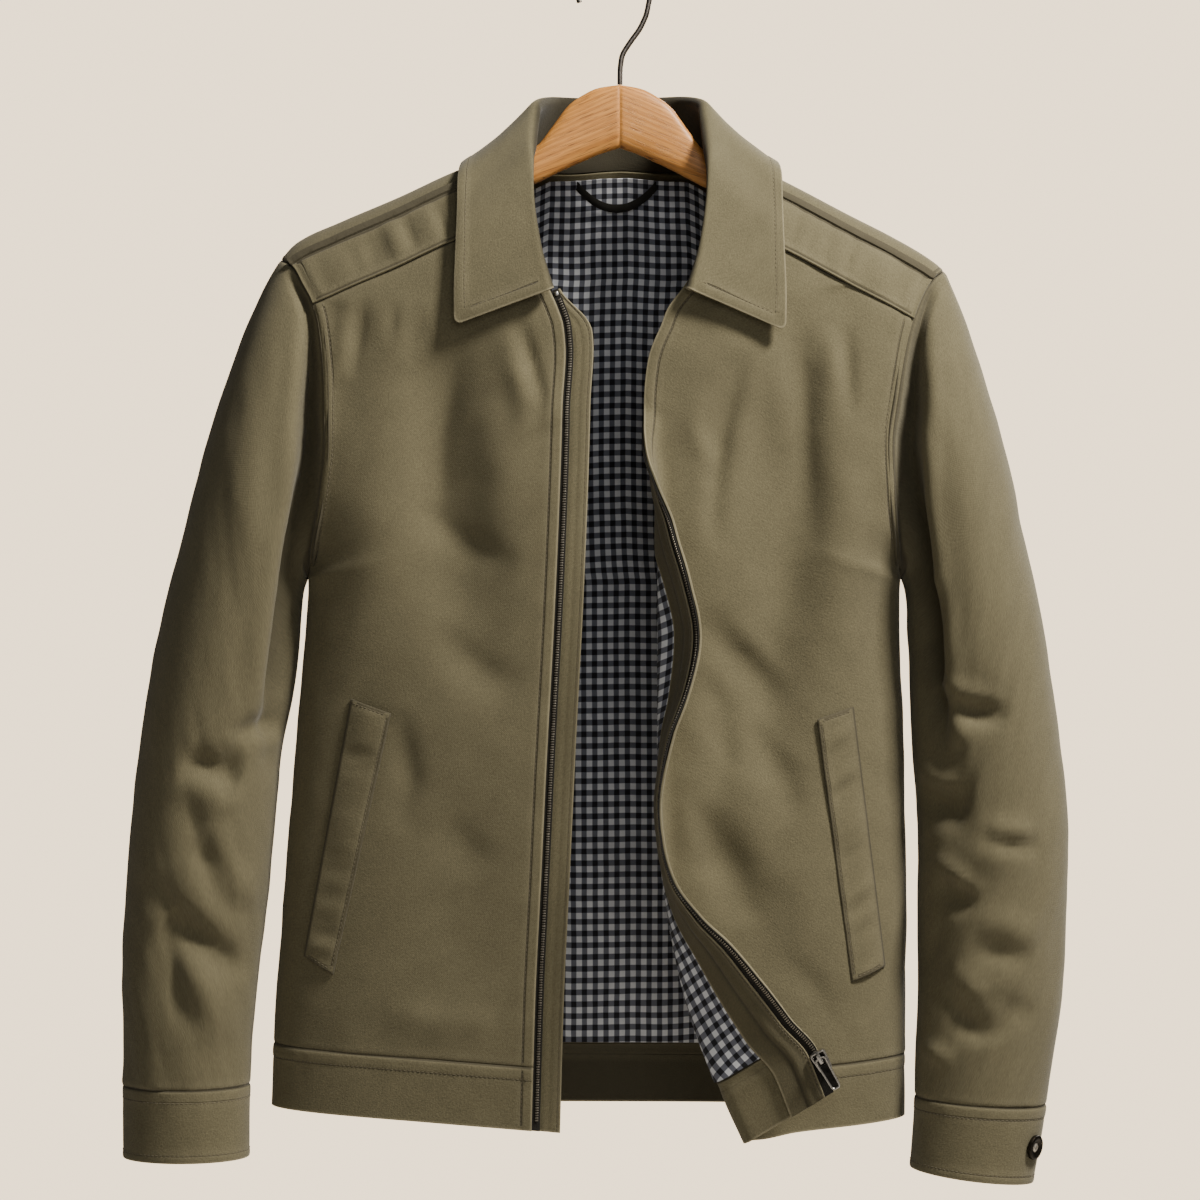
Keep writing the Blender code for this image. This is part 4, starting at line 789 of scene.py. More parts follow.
def clothPiece(name, cloth, wall, look, depth=0.0, soften=0.45, shadedReverse=None):
    # the grid as a mesh with real-size UVs, then its wall; the wall's inner side may take a darker copy of
    # the cloth, painted shade
    points = (cloth.points + cloth.inward * depth) * mm
    rows, columns = points.shape[:2]
    around = columns if cloth.closed else columns - 1
    i, j = np.meshgrid(np.arange(rows - 1), np.arange(around), indexing="ij")
    k = (j + 1) % columns
    corners = [(i, j), (i, k), (i + 1, k), (i + 1, j)]
    ends = [(i, j), (i, j + 1), (i + 1, j + 1), (i + 1, j)]
    row, column = rows // 2, columns // 4
    start = points[row - 1, column]
    facing = np.cross(points[row - 1, column + 1] - start, points[row, column] - start)
    if np.dot(facing, cloth.inward[row, column]) > 0:
        corners, ends = corners[::-1], ends[::-1]
    across, down = cloth.across, cloth.down
    if cloth.closed:
        closing = np.linalg.norm(cloth.points[:, 0] - cloth.points[:, -1], axis=1)[:, None]
        across = np.concatenate([across, across[:, -1:] + closing], axis=1)
        down = np.concatenate([down, down[:, :1]], axis=1)
    faces = np.stack([a * columns + b for a, b in corners], axis=-1).reshape(-1, 4)
    places = np.stack([np.stack([across[a, b], down[a, b]], axis=-1) for a, b in ends], axis=2).reshape(-1, 2)
    mesh = bpy.data.meshes.new(name)
    mesh.from_pydata(points.reshape(-1, 3).tolist(), [], faces.tolist())
    mesh.update()
    # each piece is cut from another place of the cloth
    shift = np.array([len(name) * 0.37, sum(map(ord, name)) % 17 * 0.23])
    layer = mesh.uv_layers.new(name="cloth")
    layer.data.foreach_set("uv", (places * mm + shift).ravel().astype(np.float32))
    for field in ("thread", "rim", "shade"):
        made = mesh.attributes.new(field, "FLOAT", "POINT")
        made.data.foreach_set("value", getattr(cloth, field).ravel().astype(np.float32))
    piece = placed(name, mesh)
    for finish in (look, shadedReverse or look):
        mesh.materials.append(finish)
    wallFinish = 1 if shadedReverse else 0
    modified(piece, "SOLIDIFY", thickness=wall * mm, offset=-1.0, use_rim=True, material_offset=wallFinish)
    if soften:
        rounding = {"width": soften * mm, "segments": 2, "limit_method": "ANGLE"}
        modified(piece, "BEVEL", angle_limit=math.radians(62), **rounding)
    if not shadedReverse:
        piece.data.materials.pop(index=1)
    shaded(piece, 55)
    return piece


def repeated(name, verts, faces, places, look):
    # one small shape set at many places; each place is its middle and three directions
    verts = np.array(verts, float)
    spots = np.array(places, float)  # middle, along, side and out
    points = spots[:, None, 0] + sum(verts[None, :, k : k + 1] * spots[:, None, k + 1] for k in range(3))
    count = len(verts)
    every = [[v + n * count for v in face] for n in range(len(spots)) for face in faces]
    mesh = bpy.data.meshes.new(name)
    mesh.from_pydata((points.reshape(-1, 3) * mm).tolist(), [], every)
    mesh.update()
    piece = placed(name, mesh)
    shaded(piece, 50)
    mesh.materials.append(look)
    return piece


def stops(points, out, pitch):
    # evenly spaced places along a line, with the way along it
    run = runOf(points)
    at = np.arange(pitch / 2, run[-1] - pitch / 2, pitch)
    way = sampled(at + 0.7, run, points) - sampled(at - 0.7, run, points)
    outward = unit(sampled(at, run, out))
    way = unit(way - outward * (way * outward).sum(axis=1, keepdims=True))
    return np.stack([sampled(at, run, points), way, np.cross(outward, way), outward], axis=1)


stitch = {"length": 2.3, "pitch": 3.1, "width": 0.56, "rise": 0.3}


def sewn(name, clothes, look):
    # the stitches of every sewn line on these cloths, as one piece
    half, side, rise = stitch["length"] / 2, stitch["width"] / 2, stitch["rise"]
    verts = [(-half, 0, -0.1)]
    for x in (-half * 0.6, half * 0.6):
        verts += [(x, -side, 0.0), (x, 0, rise), (x, side, 0.0), (x, 0, -0.15)]
    verts += [(half, 0, -0.1)]
    faces = [(0, 2, 1), (0, 3, 2), (0, 4, 3), (0, 1, 4)]
    faces += [(1, 2, 6, 5), (2, 3, 7, 6), (3, 4, 8, 7), (4, 1, 5, 8)]
    faces += [(9, 5, 6), (9, 6, 7), (9, 7, 8), (9, 8, 5)]
    places = [stops(*cloth.line(*line), stitch["pitch"]) for cloth in clothes for line in cloth.lines]
    handOver(repeated(name, verts, faces, np.concatenate(places), look), "jacket")


def handOver(piece, body, node=None):
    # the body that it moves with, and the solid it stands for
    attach(piece, body)
    if node:
        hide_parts(node)


def hung(piece, node):
    # a sewn piece, and what carries it
    handOver(piece, "jacket", node)
    return piece


class Wire:
    # one output of a node, so that shader maths reads as plain sums
    def __init__(self, finish, socket):
        self.finish, self.socket = finish, socket

    def maths(self, operation, first, second=None, clamp=False):
        sockets = {0: first} if second is None else {0: first, 1: second}
        return self.finish.node("Math", {"operation": operation, "use_clamp": clamp}, sockets)

    def __add__(self, other):
        return self.maths("ADD", self, other)

    def __sub__(self, other):
        return self.maths("SUBTRACT", self, other)

    def __rsub__(self, other):
        return self.maths("SUBTRACT", other, self)

    def __mul__(self, other):
        return self.maths("MULTIPLY", self, other)

    def __truediv__(self, other):
        return self.maths("DIVIDE", self, other)

    __radd__, __rmul__ = __add__, __mul__

    def wave(self, pitch):
        # a wave from 0 to 1 with this pitch
        return self.maths("SINE", self * (2 * math.pi / pitch)) * 0.5 + 0.5

    def part(self):
        return self.maths("FRACT", self)

    def clamped(self):
        return self.maths("ADD", self, 0.0, clamp=True)

    def fade(self, start, end):
        # 0 at start and 1 at end
        sockets = {"Value": self, "From Min": start, "From Max": end}
        return self.finish.node("MapRange", {"interpolation_type": "SMOOTHSTEP"}, sockets)


class Finish:
    def __init__(self, name, **constants):
        self.material = bpy.data.materials.new(name)
        self.material.use_nodes = True
        self.tree = self.material.node_tree
        self.shader = self.tree.nodes["Principled BSDF"]
        for key, value in constants.items():
            self.shader.inputs[key].default_value = value

    def node(self, kind, settings=None, sockets=None, output=0):
        made = self.tree.nodes.new("ShaderNode" + kind)
        for key, value in (settings or {}).items():
            setattr(made, key, value)
        for key, value in (sockets or {}).items():
            if isinstance(key, str):
                socket = next(s for s in made.inputs if key in (s.identifier, s.name))
            else:
                socket = made.inputs[key]
            if isinstance(value, Wire):
                self.tree.links.new(value.socket, socket)
            else:
                socket.default_value = value
        return Wire(self, made.outputs[output])

    def blend(self, share, first, second, how="MIX"):
        # two colours mixed
        first, second = ((*c, 1) if isinstance(c, tuple) else c for c in (first, second))
        settings = {"data_type": "RGBA", "blend_type": how}
        sockets = {"Factor_Float": share, "A_Color": first, "B_Color": second}
        return self.node("Mix", settings, sockets, output=2)

    def cloth(self):
        # where a point lies on the flat cloth, in metres: the place, across and down
        place = self.node("UVMap", {"uv_map": "cloth"})
        across = self.node("SeparateXYZ", None, {0: place})
        return place, across, Wire(self, across.socket.node.outputs[1])

    def solid(self):
        return self.node("TexCoord", output=3)

    def stretched(self, place, scale):
        return self.node("Mapping", None, {"Vector": place, "Scale": scale})

    def noise(self, place, scale, detail=2.0, rough=0.5):
        sockets = {"Vector": place, "Scale": scale, "Detail": detail, "Roughness": rough}
        return self.node("TexNoise", None, sockets)

    def field(self, name):
        return self.node("Attribute", {"attribute_type": "GEOMETRY", "attribute_name": name}, output=2)

    def give(self, colour=None, roughness=None, height=None, depth=0.001, strength=1.0, **others):
        if height is not None:
            bump = self.node("Bump", None, {"Strength": strength, "Distance": depth, "Height": height})
            self.tree.links.new(bump.socket, self.shader.inputs["Normal"])
        for key, value in {"Base Color": colour, "Roughness": roughness, **others}.items():
            if value is not None:
                self.tree.links.new(value.socket, self.shader.inputs[key])
        return self.material


# Colours from light to dark, for the outer side, and the darker copies with painted shade for the facing and
# the inner side
twillCloth = {
    "light": (0.218, 0.191, 0.108),
    "dark": (0.092, 0.080, 0.044),
    # pale colour for the painted highlight on free edges, and for the paler cloth beside sewn lines
    "wearAndHighlight": (0.33, 0.29, 0.18),
    "shaded": (0.135, 0.116, 0.062),
    "shadedReverse": (0.07, 0.061, 0.036),
    "deep": (0.055, 0.048, 0.029),
    # the colour of the painted shadow in a sewn groove
    "grooveAndShade": (0.045, 0.038, 0.023),
    # the colour of painted shade, laid on where the shade field is set
    "paintedShade": (0.03, 0.026, 0.016),
    "pitch": 0.00095,  # between two diagonal ribs, in metres
}


def makeTwill(name, light, dark):
    look = Finish(name, **{"Sheen Weight": 0.12, "Sheen Roughness": 0.5, "Specular IOR Level": 0.25})
    place, u, v = look.cloth()
    rib = (u + v * 0.8).wave(twillCloth["pitch"])
    yarn = (u * 0.9 - v).wave(twillCloth["pitch"] * 0.75)
    slub = look.noise(look.stretched(place, (1, 0.12, 1)), 1600, 2)
    cross = look.noise(look.stretched(place, (0.12, 1, 1)), 1500, 2)
    grain, mottle = look.noise(place, 720, 3, 0.65), look.noise(place, 55, 3, 0.6)
    fade = look.noise(place, 7, 2)
    tone = grain * 1.25 + slub * 0.4 + cross * 0.4 + mottle * 0.34 + fade * 0.3 + rib * 0.05 - 0.84
    colour = look.blend(tone.clamped(), dark, light)
    # painted shade: darker where the shade field is set
    colour = look.blend((look.field("shade") * 0.8).clamped(), colour, twillCloth["paintedShade"])
    # painted shadow in a sewn groove, paler beside it, painted highlight on a free edge where it catches the
    # light
    thread, rim = look.field("thread"), look.field("rim")
    grooveAndShade, near = 1 - thread.fade(0.3, 1.2), 1 - thread.fade(0.8, 7.0)
    # painted highlight on a free edge, where it catches the light, uneven with the mottle
    wearAndHighlight = (1 - rim.fade(0.2, 1.9)) * (0.45 + mottle * 0.55)
    colour = look.blend(grooveAndShade * 0.85, colour, twillCloth["grooveAndShade"])
    colour = look.blend((near * 0.10).clamped(), colour, twillCloth["wearAndHighlight"])
    colour = look.blend(wearAndHighlight.clamped(), colour, twillCloth["wearAndHighlight"])
    weave = rib * 0.06 + yarn * 0.03 + grain * 0.42 + slub * 0.14 + cross * 0.1
    height = weave + mottle * 0.25 - grooveAndShade * 0.6
    pucker = look.noise(place, 230, 1) * near * 0.35
    return look.give(colour, 0.80 + grain * 0.14, height + pucker, depth=0.0009, strength=0.75)


# The two-way check, its repeats in metres
checkCloth = {
    "across": 0.0077,
    "down": 0.0084,
    "yarn": 0.00052,
    "white": (0.95, 0.97, 1.0),
    "grey": (0.19, 0.20, 0.24),
    "black": (0.012, 0.012, 0.016),
    "gap": (0.02, 0.02, 0.025),
    "dull": (0.03, 0.03, 0.036),
}


def makeCheck():
    look = Finish("checkedLining", **{"Specular IOR Level": 0.25, "Sheen Weight": 0.1})
    place, u, v = look.cloth()
    wobble = (look.noise(place, 60, 2) - 0.5) * 0.0006
    stripes = []
    for way, repeat in ((u, "across"), (v, "down")):
        step = ((way + wobble) / checkCloth[repeat]).part()
        stripes.append(step.fade(0.0, 0.05) * (1 - step.fade(0.48, 0.53)))
    yarnU, yarnV = u.wave(checkCloth["yarn"]), v.wave(checkCloth["yarn"])
    weave = yarnU * (1 - yarnV) + yarnV * (1 - yarnU)
    colour = look.blend((stripes[0] + stripes[1]).clamped(), checkCloth["white"], checkCloth["grey"])
    colour = look.blend(stripes[0] * stripes[1], colour, checkCloth["black"])
    colour = look.blend((weave * 0.1).clamped(), colour, checkCloth["gap"])
    colour = look.blend((look.noise(place, 35, 2) * 0.5 - 0.1).clamped(), colour, checkCloth["dull"])
    grain = look.noise(place, 900, 2)
    return look.give(colour, 0.78 + grain * 0.12, weave * 0.3 + grain * 0.3, depth=0.0005, strength=0.7)


tapeCloth = {"dark": (0.010, 0.009, 0.007), "light": (0.034, 0.031, 0.024), "rib": 0.0008, "chain": 0.0011}


def makeTape():
    look = Finish("darkTape", **{"Specular IOR Level": 0.3})
    place, u, v = look.cloth()
    ribs, chain = (v + u * 0.3).wave(tapeCloth["rib"]), u.wave(tapeCloth["chain"])
    grain = look.noise(place, 800, 2)
    colour = look.blend((grain * 0.6 + ribs * 0.3).clamped(), tapeCloth["dark"], tapeCloth["light"])
    return look.give(colour, 0.7 + grain * 0.2, ribs * 0.6 + chain * 0.3 + grain * 0.2, depth=0.0005)


threadYarn = {"dark": (0.085, 0.07, 0.038), "light": (0.19, 0.16, 0.095)}


def makeThread():
    look = Finish("oliveThread", **{"Specular IOR Level": 0.35, "Sheen Weight": 0.2})
    twist = look.noise(look.solid(), 2600, 1)
    colour = look.blend(twist, threadYarn["dark"], threadYarn["light"])
    return look.give(colour, 0.6 + twist * 0.2, twist, depth=0.0002)


# Bright colour, dark colour, roughness, and the way it is brushed
metals = {
    "zipMetal": ((0.72, 0.70, 0.66), (0.40, 0.38, 0.35), 0.18, (1, 6, 1)),
    "teethMetal": ((0.42, 0.38, 0.31), (0.12, 0.105, 0.08), 0.3, (1, 1, 1)),
    "darkEnamel": ((0.055, 0.05, 0.045), (0.018, 0.017, 0.015), 0.24, (1, 5, 1)),
    "snapMetal": ((0.075, 0.062, 0.045), (0.022, 0.02, 0.016), 0.28, (1, 1, 1)),
    "snapPin": ((0.80, 0.75, 0.66), (0.45, 0.41, 0.34), 0.35, (1, 1, 1)),
    "hookSteel": ((0.33, 0.29, 0.25), (0.16, 0.14, 0.12), 0.22, (1, 1, 8)),
}


def makeMetal(name, bright, dark, rough, brushed):
    look = Finish(name, Metallic=1.0)
    place = look.solid()
    wearAndHighlight = look.noise(place, 320, 4, 0.6)
    lines = look.noise(look.stretched(place, brushed), 900, 2)
    colour = look.blend((wearAndHighlight * 1.5 - 0.35).clamped(), dark, bright)
    rough = rough + lines * 0.16 + wearAndHighlight * 0.12
    return look.give(colour, rough, lines * 0.6 + wearAndHighlight * 0.4, depth=0.0001, strength=0.5)


oakWood = {"dark": (0.44, 0.145, 0.018), "light": (0.95, 0.44, 0.10), "pore": (0.22, 0.08, 0.02)}


def makeOak():
    look = Finish("oakWood", **{"Coat Weight": 0.22, "Coat Roughness": 0.32})
    place, u, v = look.cloth()
    drifted = look.noise(look.stretched(place, (5, 30, 1)), 1.6, 3)
    rings = v * 1500 + drifted * 16 + look.noise(look.stretched(place, (2, 9, 1)), 6, 2) * 8
    fibre = look.noise(look.stretched(place, (14, 900, 1)), 1.0, 4, 0.6)
    pores = look.noise(look.stretched(place, (60, 2200, 1)), 1.0, 2, 0.5).fade(0.56, 0.66)
    fleck = look.noise(look.solid(), 40, 3)
    tone = (rings.wave(2 * math.pi) * 0.3 + fibre * 0.9 + fleck * 0.25 - 0.2).clamped()
    colour = look.blend(tone, oakWood["dark"], oakWood["light"])
    colour = look.blend((pores * 0.8).clamped(), colour, oakWood["pore"])
    return look.give(colour, 0.42 + fibre * 0.16, fibre * 0.5 - pores * 0.6, depth=0.0003, strength=0.6)


twill = makeTwill("oliveTwill", twillCloth["light"], twillCloth["dark"])
# darker copies of the twill: painted shade for the facing and for inner faces
twillShade = makeTwill("oliveFacingShaded", twillCloth["shaded"], twillCloth["shadedReverse"])
twillShadedReverse = makeTwill("oliveReverseShaded", twillCloth["shadedReverse"], twillCloth["deep"])
check, tape, thread, oak = makeCheck(), makeTape(), makeThread(), makeOak()
metal = {name: makeMetal(name, *values) for name, values in metals.items()}
print("finishes made")


# Fronts: the panel with its turned front edge, and the band under it. Cuts are width, length and area.
fronts = {
    "step": 3.8,
    "zipStitch": 7.6,
    "hemStitch": 8.4,
    "armholeStitch": 6.6,
    "panelCut": {"right": (0.22, 0.60, 0.105), "left": (0.26, 0.61, 0.123)},
    "bandCut": {"right": (0.207, 0.044, 0.009), "left": (0.235, 0.045, 0.0103)},
    "edgeColumns": np.array([0, 0.8, 1.8, 3.2, 5.0, 6.6, 7.6, 8.6, 10.4, 13.0]),
    "sideColumns": 180 - np.array([6, 4.6, 3.2, 2.0, 1.1, 0.5, 0]),
}
middleColumns = [np.arange(16, 80, 3.2), np.linspace(80, 180 - 6, 48)[:-1]]
frontColumns = np.concatenate([fronts["edgeColumns"], *middleColumns, fronts["sideColumns"]])
panelRows = spaced(555, fronts["step"])
bandRows = 1 + spaced(43, 3.6)


# Folds drawn on the fronts: path, width, rise, and how much steeper one side is
drape = {
    "right": [
        ([(-96, -215), (-112, -310), (-106, -420), (-84, -530)], 28, -8.0, 0),
        ([(-176, -330), (-168, -420), (-176, -520)], 22, 3.2, 0),
        ([(-65, -258), (-50, -312), (-53, -334)], 7, -4, 0.6),
        ([(-76, -262), (-62, -318), (-66, -350)], 9, 2.5, 0),
        ([(-108, -268), (-123, -336), (-124, -386), (-108, -408)], 17, -5.2, 0.4),
        ([(-139, -386), (-116, -405), (-65, -431)], 12.5, -3, 0.5),
        ([(-182, -238), (-190, -305)], 8, 2.5, 0),
        ([(-172, -243), (-175, -262), (-181, -300)], 7, -1.8, 0.5),
        ([(-150, -246), (-155, -276)], 6, -1.3, 0.5),
        ([(-131, -248), (-134, -262), (-143, -290)], 8, -1.4, 0.5),
        ([(-85, -312), (-78, -370), (-84, -420)], 19.5, 3.7, 0),
        ([(-149, -526), (-140, -576), (-150, -612)], 12.5, -3, 0.4),
        ([(-128, -470), (-92, -500), (-62, -514)], 15, -2.8, 0.4),
        ([(-120, -600), (-84, -640)], 16, -2.3, 0.4),
        ([(-160, -735), (-120, -742), (-80, -738)], 12.5, 2.1, 0.3),
    ],
    "left": [
        ([(122, -215), (126, -300), (124, -400), (108, -520), (116, -640)], 24, -10.0, 0),
        ([(160, -320), (160, -420), (150, -520)], 18, 3.2, 0),
        ([(129, -244), (131, -329), (137, -425)], 14, -3.9, 0.3),
        ([(113, -272), (116, -350)], 10.5, 2.5, 0),
        ([(160, -262), (163, -330)], 8, -2.8, 0.5),
        ([(150, -262), (150, -310)], 7, 2.1, 0),
        ([(89, -280), (74, -342), (67, -386), (70, -418)], 11.5, -5.8, 0.6),
        ([(60, -306), (54, -334), (64, -356), (61, -384), (56, -422)], 9, 2.8, 0.2),
        ([(58, -462), (78, -482), (100, -506), (112, -532)], 15, -4.6, 0),
        ([(76, -462), (98, -486), (118, -512)], 9, 2.3, 0),
        ([(60, -500), (74, -530), (76, -560), (66, -592)], 12.5, -4.1, 0.3),
        ([(50, -592), (64, -612), (80, -640), (90, -676)], 16, -5.2, 0.1),
        ([(46, -586), (50, -606), (62, -632)], 10.5, 2.8, 0),
        ([(92, -540), (118, -572), (126, -606)], 12.5, -2.8, 0.4),
        ([(110, -690), (140, -722), (150, -752)], 12.5, -2.3, 0.4),
    ],
}


def frontCloth(side, rows, columns):
    # a front's cloth at these rows and columns; columns may run past the free edge
    columns = np.broadcast_to(columns, (len(rows), np.shape(columns)[-1]))
    grid, bends = [], []
    for row, wanted in zip(rows, columns):
        line, places, bent = frontLine(side, row)
        grid.append(sampled(wanted, places, line))
        bends.append(bent)
    points = np.array(grid)
    cloth = Cloth(points, gridInward(points, flip=side == "left"))
    strip, arc = np.array(bends).T[:, :, None]
    cloth.flat = ease((columns - strip * ease(arc / 8)) / 14 + 0.15)
    return cloth.calmed(ease((columns - 34) / 30)).fold(drape[side], cloth.flat)


def makeFront(side):
    sign, title = sides[side], side.title()
    panel = frontCloth(side, panelRows, frontColumns)
    armhole = float(np.interp(-underarmHeight, -panel.points[:, -1, 2], panel.down[:, -1]))
    below = float(panel.down[-1, -1]) - armhole + 20
    panel.uneven((11 + sign, 0.7, 48), (15 + sign, 0.35, 19))
    panel.seam("top", 0.5).seam("bottom", 0.6).seam("last", 0.6, drawn=False).edge("first")
    panel.topstitch("first", fronts["zipStitch"], pucker=0.3, seed=3 + sign)
    panel.topstitch("last", fronts["armholeStitch"], 2, below, rise=0.45, pucker=0.3, seed=8 + sign)
    band = frontCloth(side, bandRows, frontColumns).uneven((21 + sign, 0.3, 30))
    band.seam("top", 0.5).seam("last", 0.9).edge("first", "bottom")
    band.topstitch("top", fronts["hemStitch"], pucker=0.3, seed=12 + sign, size=7)
    band.topstitch("first", fronts["zipStitch"], pucker=0.2, seed=13 + sign)
    sewn("frontStitches" + title, [panel, band], thread)
    panel.tuck("top")
    band.tuck("top", share=band.flat[0])
    hung(clothPiece("front" + title, panel, shellWall, twill), "front_" + side)
    hung(clothPiece("hemBand" + title, band, shellWall, twill), "hem_band_" + side)


for side in sides:
    makeFront(side)
print("fronts sewn")


# What lies behind the front edges: lining, facing, tapes and the zip's guard.
# Columns are distances from the front edge, and the guard's are shares of its width.
insides = {
    "liningColumns": [facingWidth + 1.5 + np.arange(0, 44, 2.6), np.linspace(81, 172, 34)],
    "facingColumns": [tapeWidth + np.array([0, 0.8, 1.8, 3.2]), np.arange(12, 33, 2.0), [33.4, 34.5]],
    "facingFolds": ((9.5, 2.6, -1.5), (13.2, 0.9, 0.4)),  # place, width and rise
    # place, width and strength of the painted shade along the facing, one line in its crease
    "facingShades": ((13.2, 1.6, 0.75), (5.5, 1.6, 0.4)),
    "tapeColumns": {"left": [0.2, 2, 4, 6, 8.5, 11, 13], "right": [-5.5, -4, -2.5, -1, 1, 4, 7]},
    "guardColumns": [[0, 0.05, 0.12, 0.2], np.linspace(0.27, 1, 12)],
    "guardRidges": ((5.2, 1.5), (11.2, 1.7)),
    "liningCut": (0.20, 0.56, 0.094),
    "facingCut": (0.028, 0.605, 0.0167),
    "tapeCut": (0.013, 0.60, 0.0078),
    "guardCut": (0.027, 0.59, 0.0158),
}


def bells(across, folds):
    return sum(rise * bell(across - place, width) for place, width, rise in folds)


def makeInsides():
    rows = np.concatenate([panelRows[panelRows > 0.1], bandRows[1:]])
    # the lining starts beside the facing and runs back behind the front
    lining = frontCloth("left", panelRows[panelRows > 0.06], np.concatenate(insides["liningColumns"]))
    lining.uneven((31, 0.18, 24))
    made = clothPiece("liningFrontLeft", lining, liningWall, check, underShell, soften=0)
    hung(made, "lining_front_left")
    facing = frontCloth("left", rows, np.concatenate(insides["facingColumns"]))
    facing.lift(bells(facing.across, insides["facingFolds"]))
    # painted shade along two lines of the facing, one in its crease
    facing.shade = bells(facing.across, insides["facingShades"])
    facing.edge("first", "last").topstitch("first", 2.0, pucker=0.1, seed=41)
    made = clothPiece("facingLeft", facing, liningWall, twillShade, underTape)
    hung(made, "facing_left")
    for side, columns in insides["tapeColumns"].items():
        strip = frontCloth(side, rows, np.array(columns))
        made = clothPiece("zipTape" + side.title(), strip, tapeWall, tape, underShell, soften=0.2)
        hung(made, "zip_tape_" + side)
    # the guard widens over its first few rows
    reach = -tapeWidth - (guardWidth - tapeWidth) * ease((rows - rows[0]) / 0.06)
    shares = np.concatenate(insides["guardColumns"])
    guard = frontCloth("right", rows, reach[:, None] + (tapeWidth - reach[:, None]) * shares)
    for middle, width in insides["guardRidges"]:
        guard.lift(0.55 * bell(guard.across - middle, width))
    guard.edge("first", "bottom").topstitch("first", 2.2, pucker=0.12, seed=43, rise=0.2)
    hung(clothPiece("zipGuard", guard, guardWall, twill, underTape), "zip_guard")
    # their stitches lie on the side that shows
    for cloth, depth in ((guard, underTape), (facing, underTape + liningWall)):
        cloth.points = cloth.points + cloth.inward * depth
    facing.inward = -facing.inward
    facing.lines = [("first", 2.0, 4, 4)]
    sewn("insideStitches", [guard, facing], thread)


makeInsides()
print("insides sewn")


# Back
back = {
    "step": 4.6,
    "across": 480,
    "down": 500,
    "liningReach": 0.88,
    "liningColumn": 48,
    "cut": (0.49, 0.53, 0.23),
    "bandCut": (0.49, 0.044, 0.0215),
    "liningCut": (0.475, 0.625, 0.245),
}


# Folds that hang from the back yoke and gather above the hem
backDrape = [
    ([(-168, -230), (-150, -330), (-156, -450)], 16, 4.2, 0.3),
    ([(160, -230), (146, -340), (150, -470)], 16, 4.0, 0.3),
    ([(-70, -240), (-62, -360), (-74, -520)], 20, 3.4, 0.2),
    ([(58, -240), (70, -380), (60, -560)], 20, 3.6, 0.2),
    ([(-190, -430), (-140, -500), (-70, -545)], 14, 3.0, 0.3),
    ([(188, -440), (136, -520), (64, -560)], 14, 3.0, 0.3),
    ([(-170, -600), (-110, -650), (-60, -720)], 15, 2.8, 0.3),
    ([(160, -620), (120, -680), (96, -750)], 15, 2.8, 0.3),
    ([(-20, -560), (0, -650), (-6, -760)], 18, 2.6, 0.2),
]


def backCloth(top, rows, columns):
    lines = []
    for row in rows:
        line = np.zeros((len(columns), 3))
        for side, sign in sides.items():
            use = columns * sign >= 0
            share = np.abs(columns[use])
            heights = np.full(len(share), -500.0)
            for _ in range(settleRounds):
                angles = outerAngle(side, heights) * share**0.85
                places = roundSection(side, angles, heights)
                heights = rowHeight(places, row, True, top)
            points = bodyPoint(places, heights, True)
            points[angles > math.pi / 2, 1] *= -1
            line[use] = points
        lines.append(line)
    points = np.array(lines)
    return Cloth(points, gridInward(points))


def makeBack():
    columns = spaced(back["across"], back["step"]) * 2 - 1
    panel = backCloth(backTop, spaced(back["down"], back["step"]), columns)
    panel.uneven((51, 0.8, 60), (52, 0.3, 22)).fold(backDrape)
    for border, dip in (("top", 0.7), ("bottom", 0.7), ("first", 0.9), ("last", 0.9)):
        panel.seam(border, dip)
    panel.topstitch("top", 2.0, pucker=0.3, seed=53, rise=0.2)
    band = backCloth(backTop, bandRows, columns).uneven((54, 0.3, 30))
    band.seam("top", 0.5).seam("first").seam("last").edge("bottom")
    band.topstitch("top", fronts["hemStitch"], pucker=0.3, seed=55, size=7)
    sewn("backStitches", [panel, band], thread)
    panel.tuck("top").tuck("first", 3.5).tuck("last", 3.5)
    band.tuck("top")
    hung(clothPiece("backPanel", panel, shellWall, twill), "back_panel")
    # the band's inner face takes the darker copy, painted shade
    made = clothPiece("hemBandBack", band, shellWall, twill, shadedReverse=twillShadedReverse)
    hung(made, "hem_band_back")
    reach, middle = back["liningReach"], back["liningColumn"]
    lining = backCloth(liningTop, spaced(640, 5.0, True, False), np.linspace(-reach, reach, 2 * middle))
    lining.lift(-0.5 * drift(57, lining.across, lining.down / 3, 22))
    lining.across = lining.across - lining.across[:, middle : middle + 1] + 0.3
    made = clothPiece("liningBack", lining, liningWall, check, liningDepth, soften=0)
    hung(made, "lining_back")


makeBack()
print("back sewn")


# Yokes: the back one runs over both shoulders, and a strip lies before each
yokes = {
    "step": 3.8,
    "upperStitch": 2.0,
    "lowerStitch": 2.2,
    "backStitch": 3.0,
    "lap": 1.02,  # how far a strip runs under the front
    "puckerRise": 2.0,
    "puckerSize": 6.0,
    "backCut": (0.46, 0.20, 0.059),
    "frontCut": (0.17, 0.038, 0.0061),
}


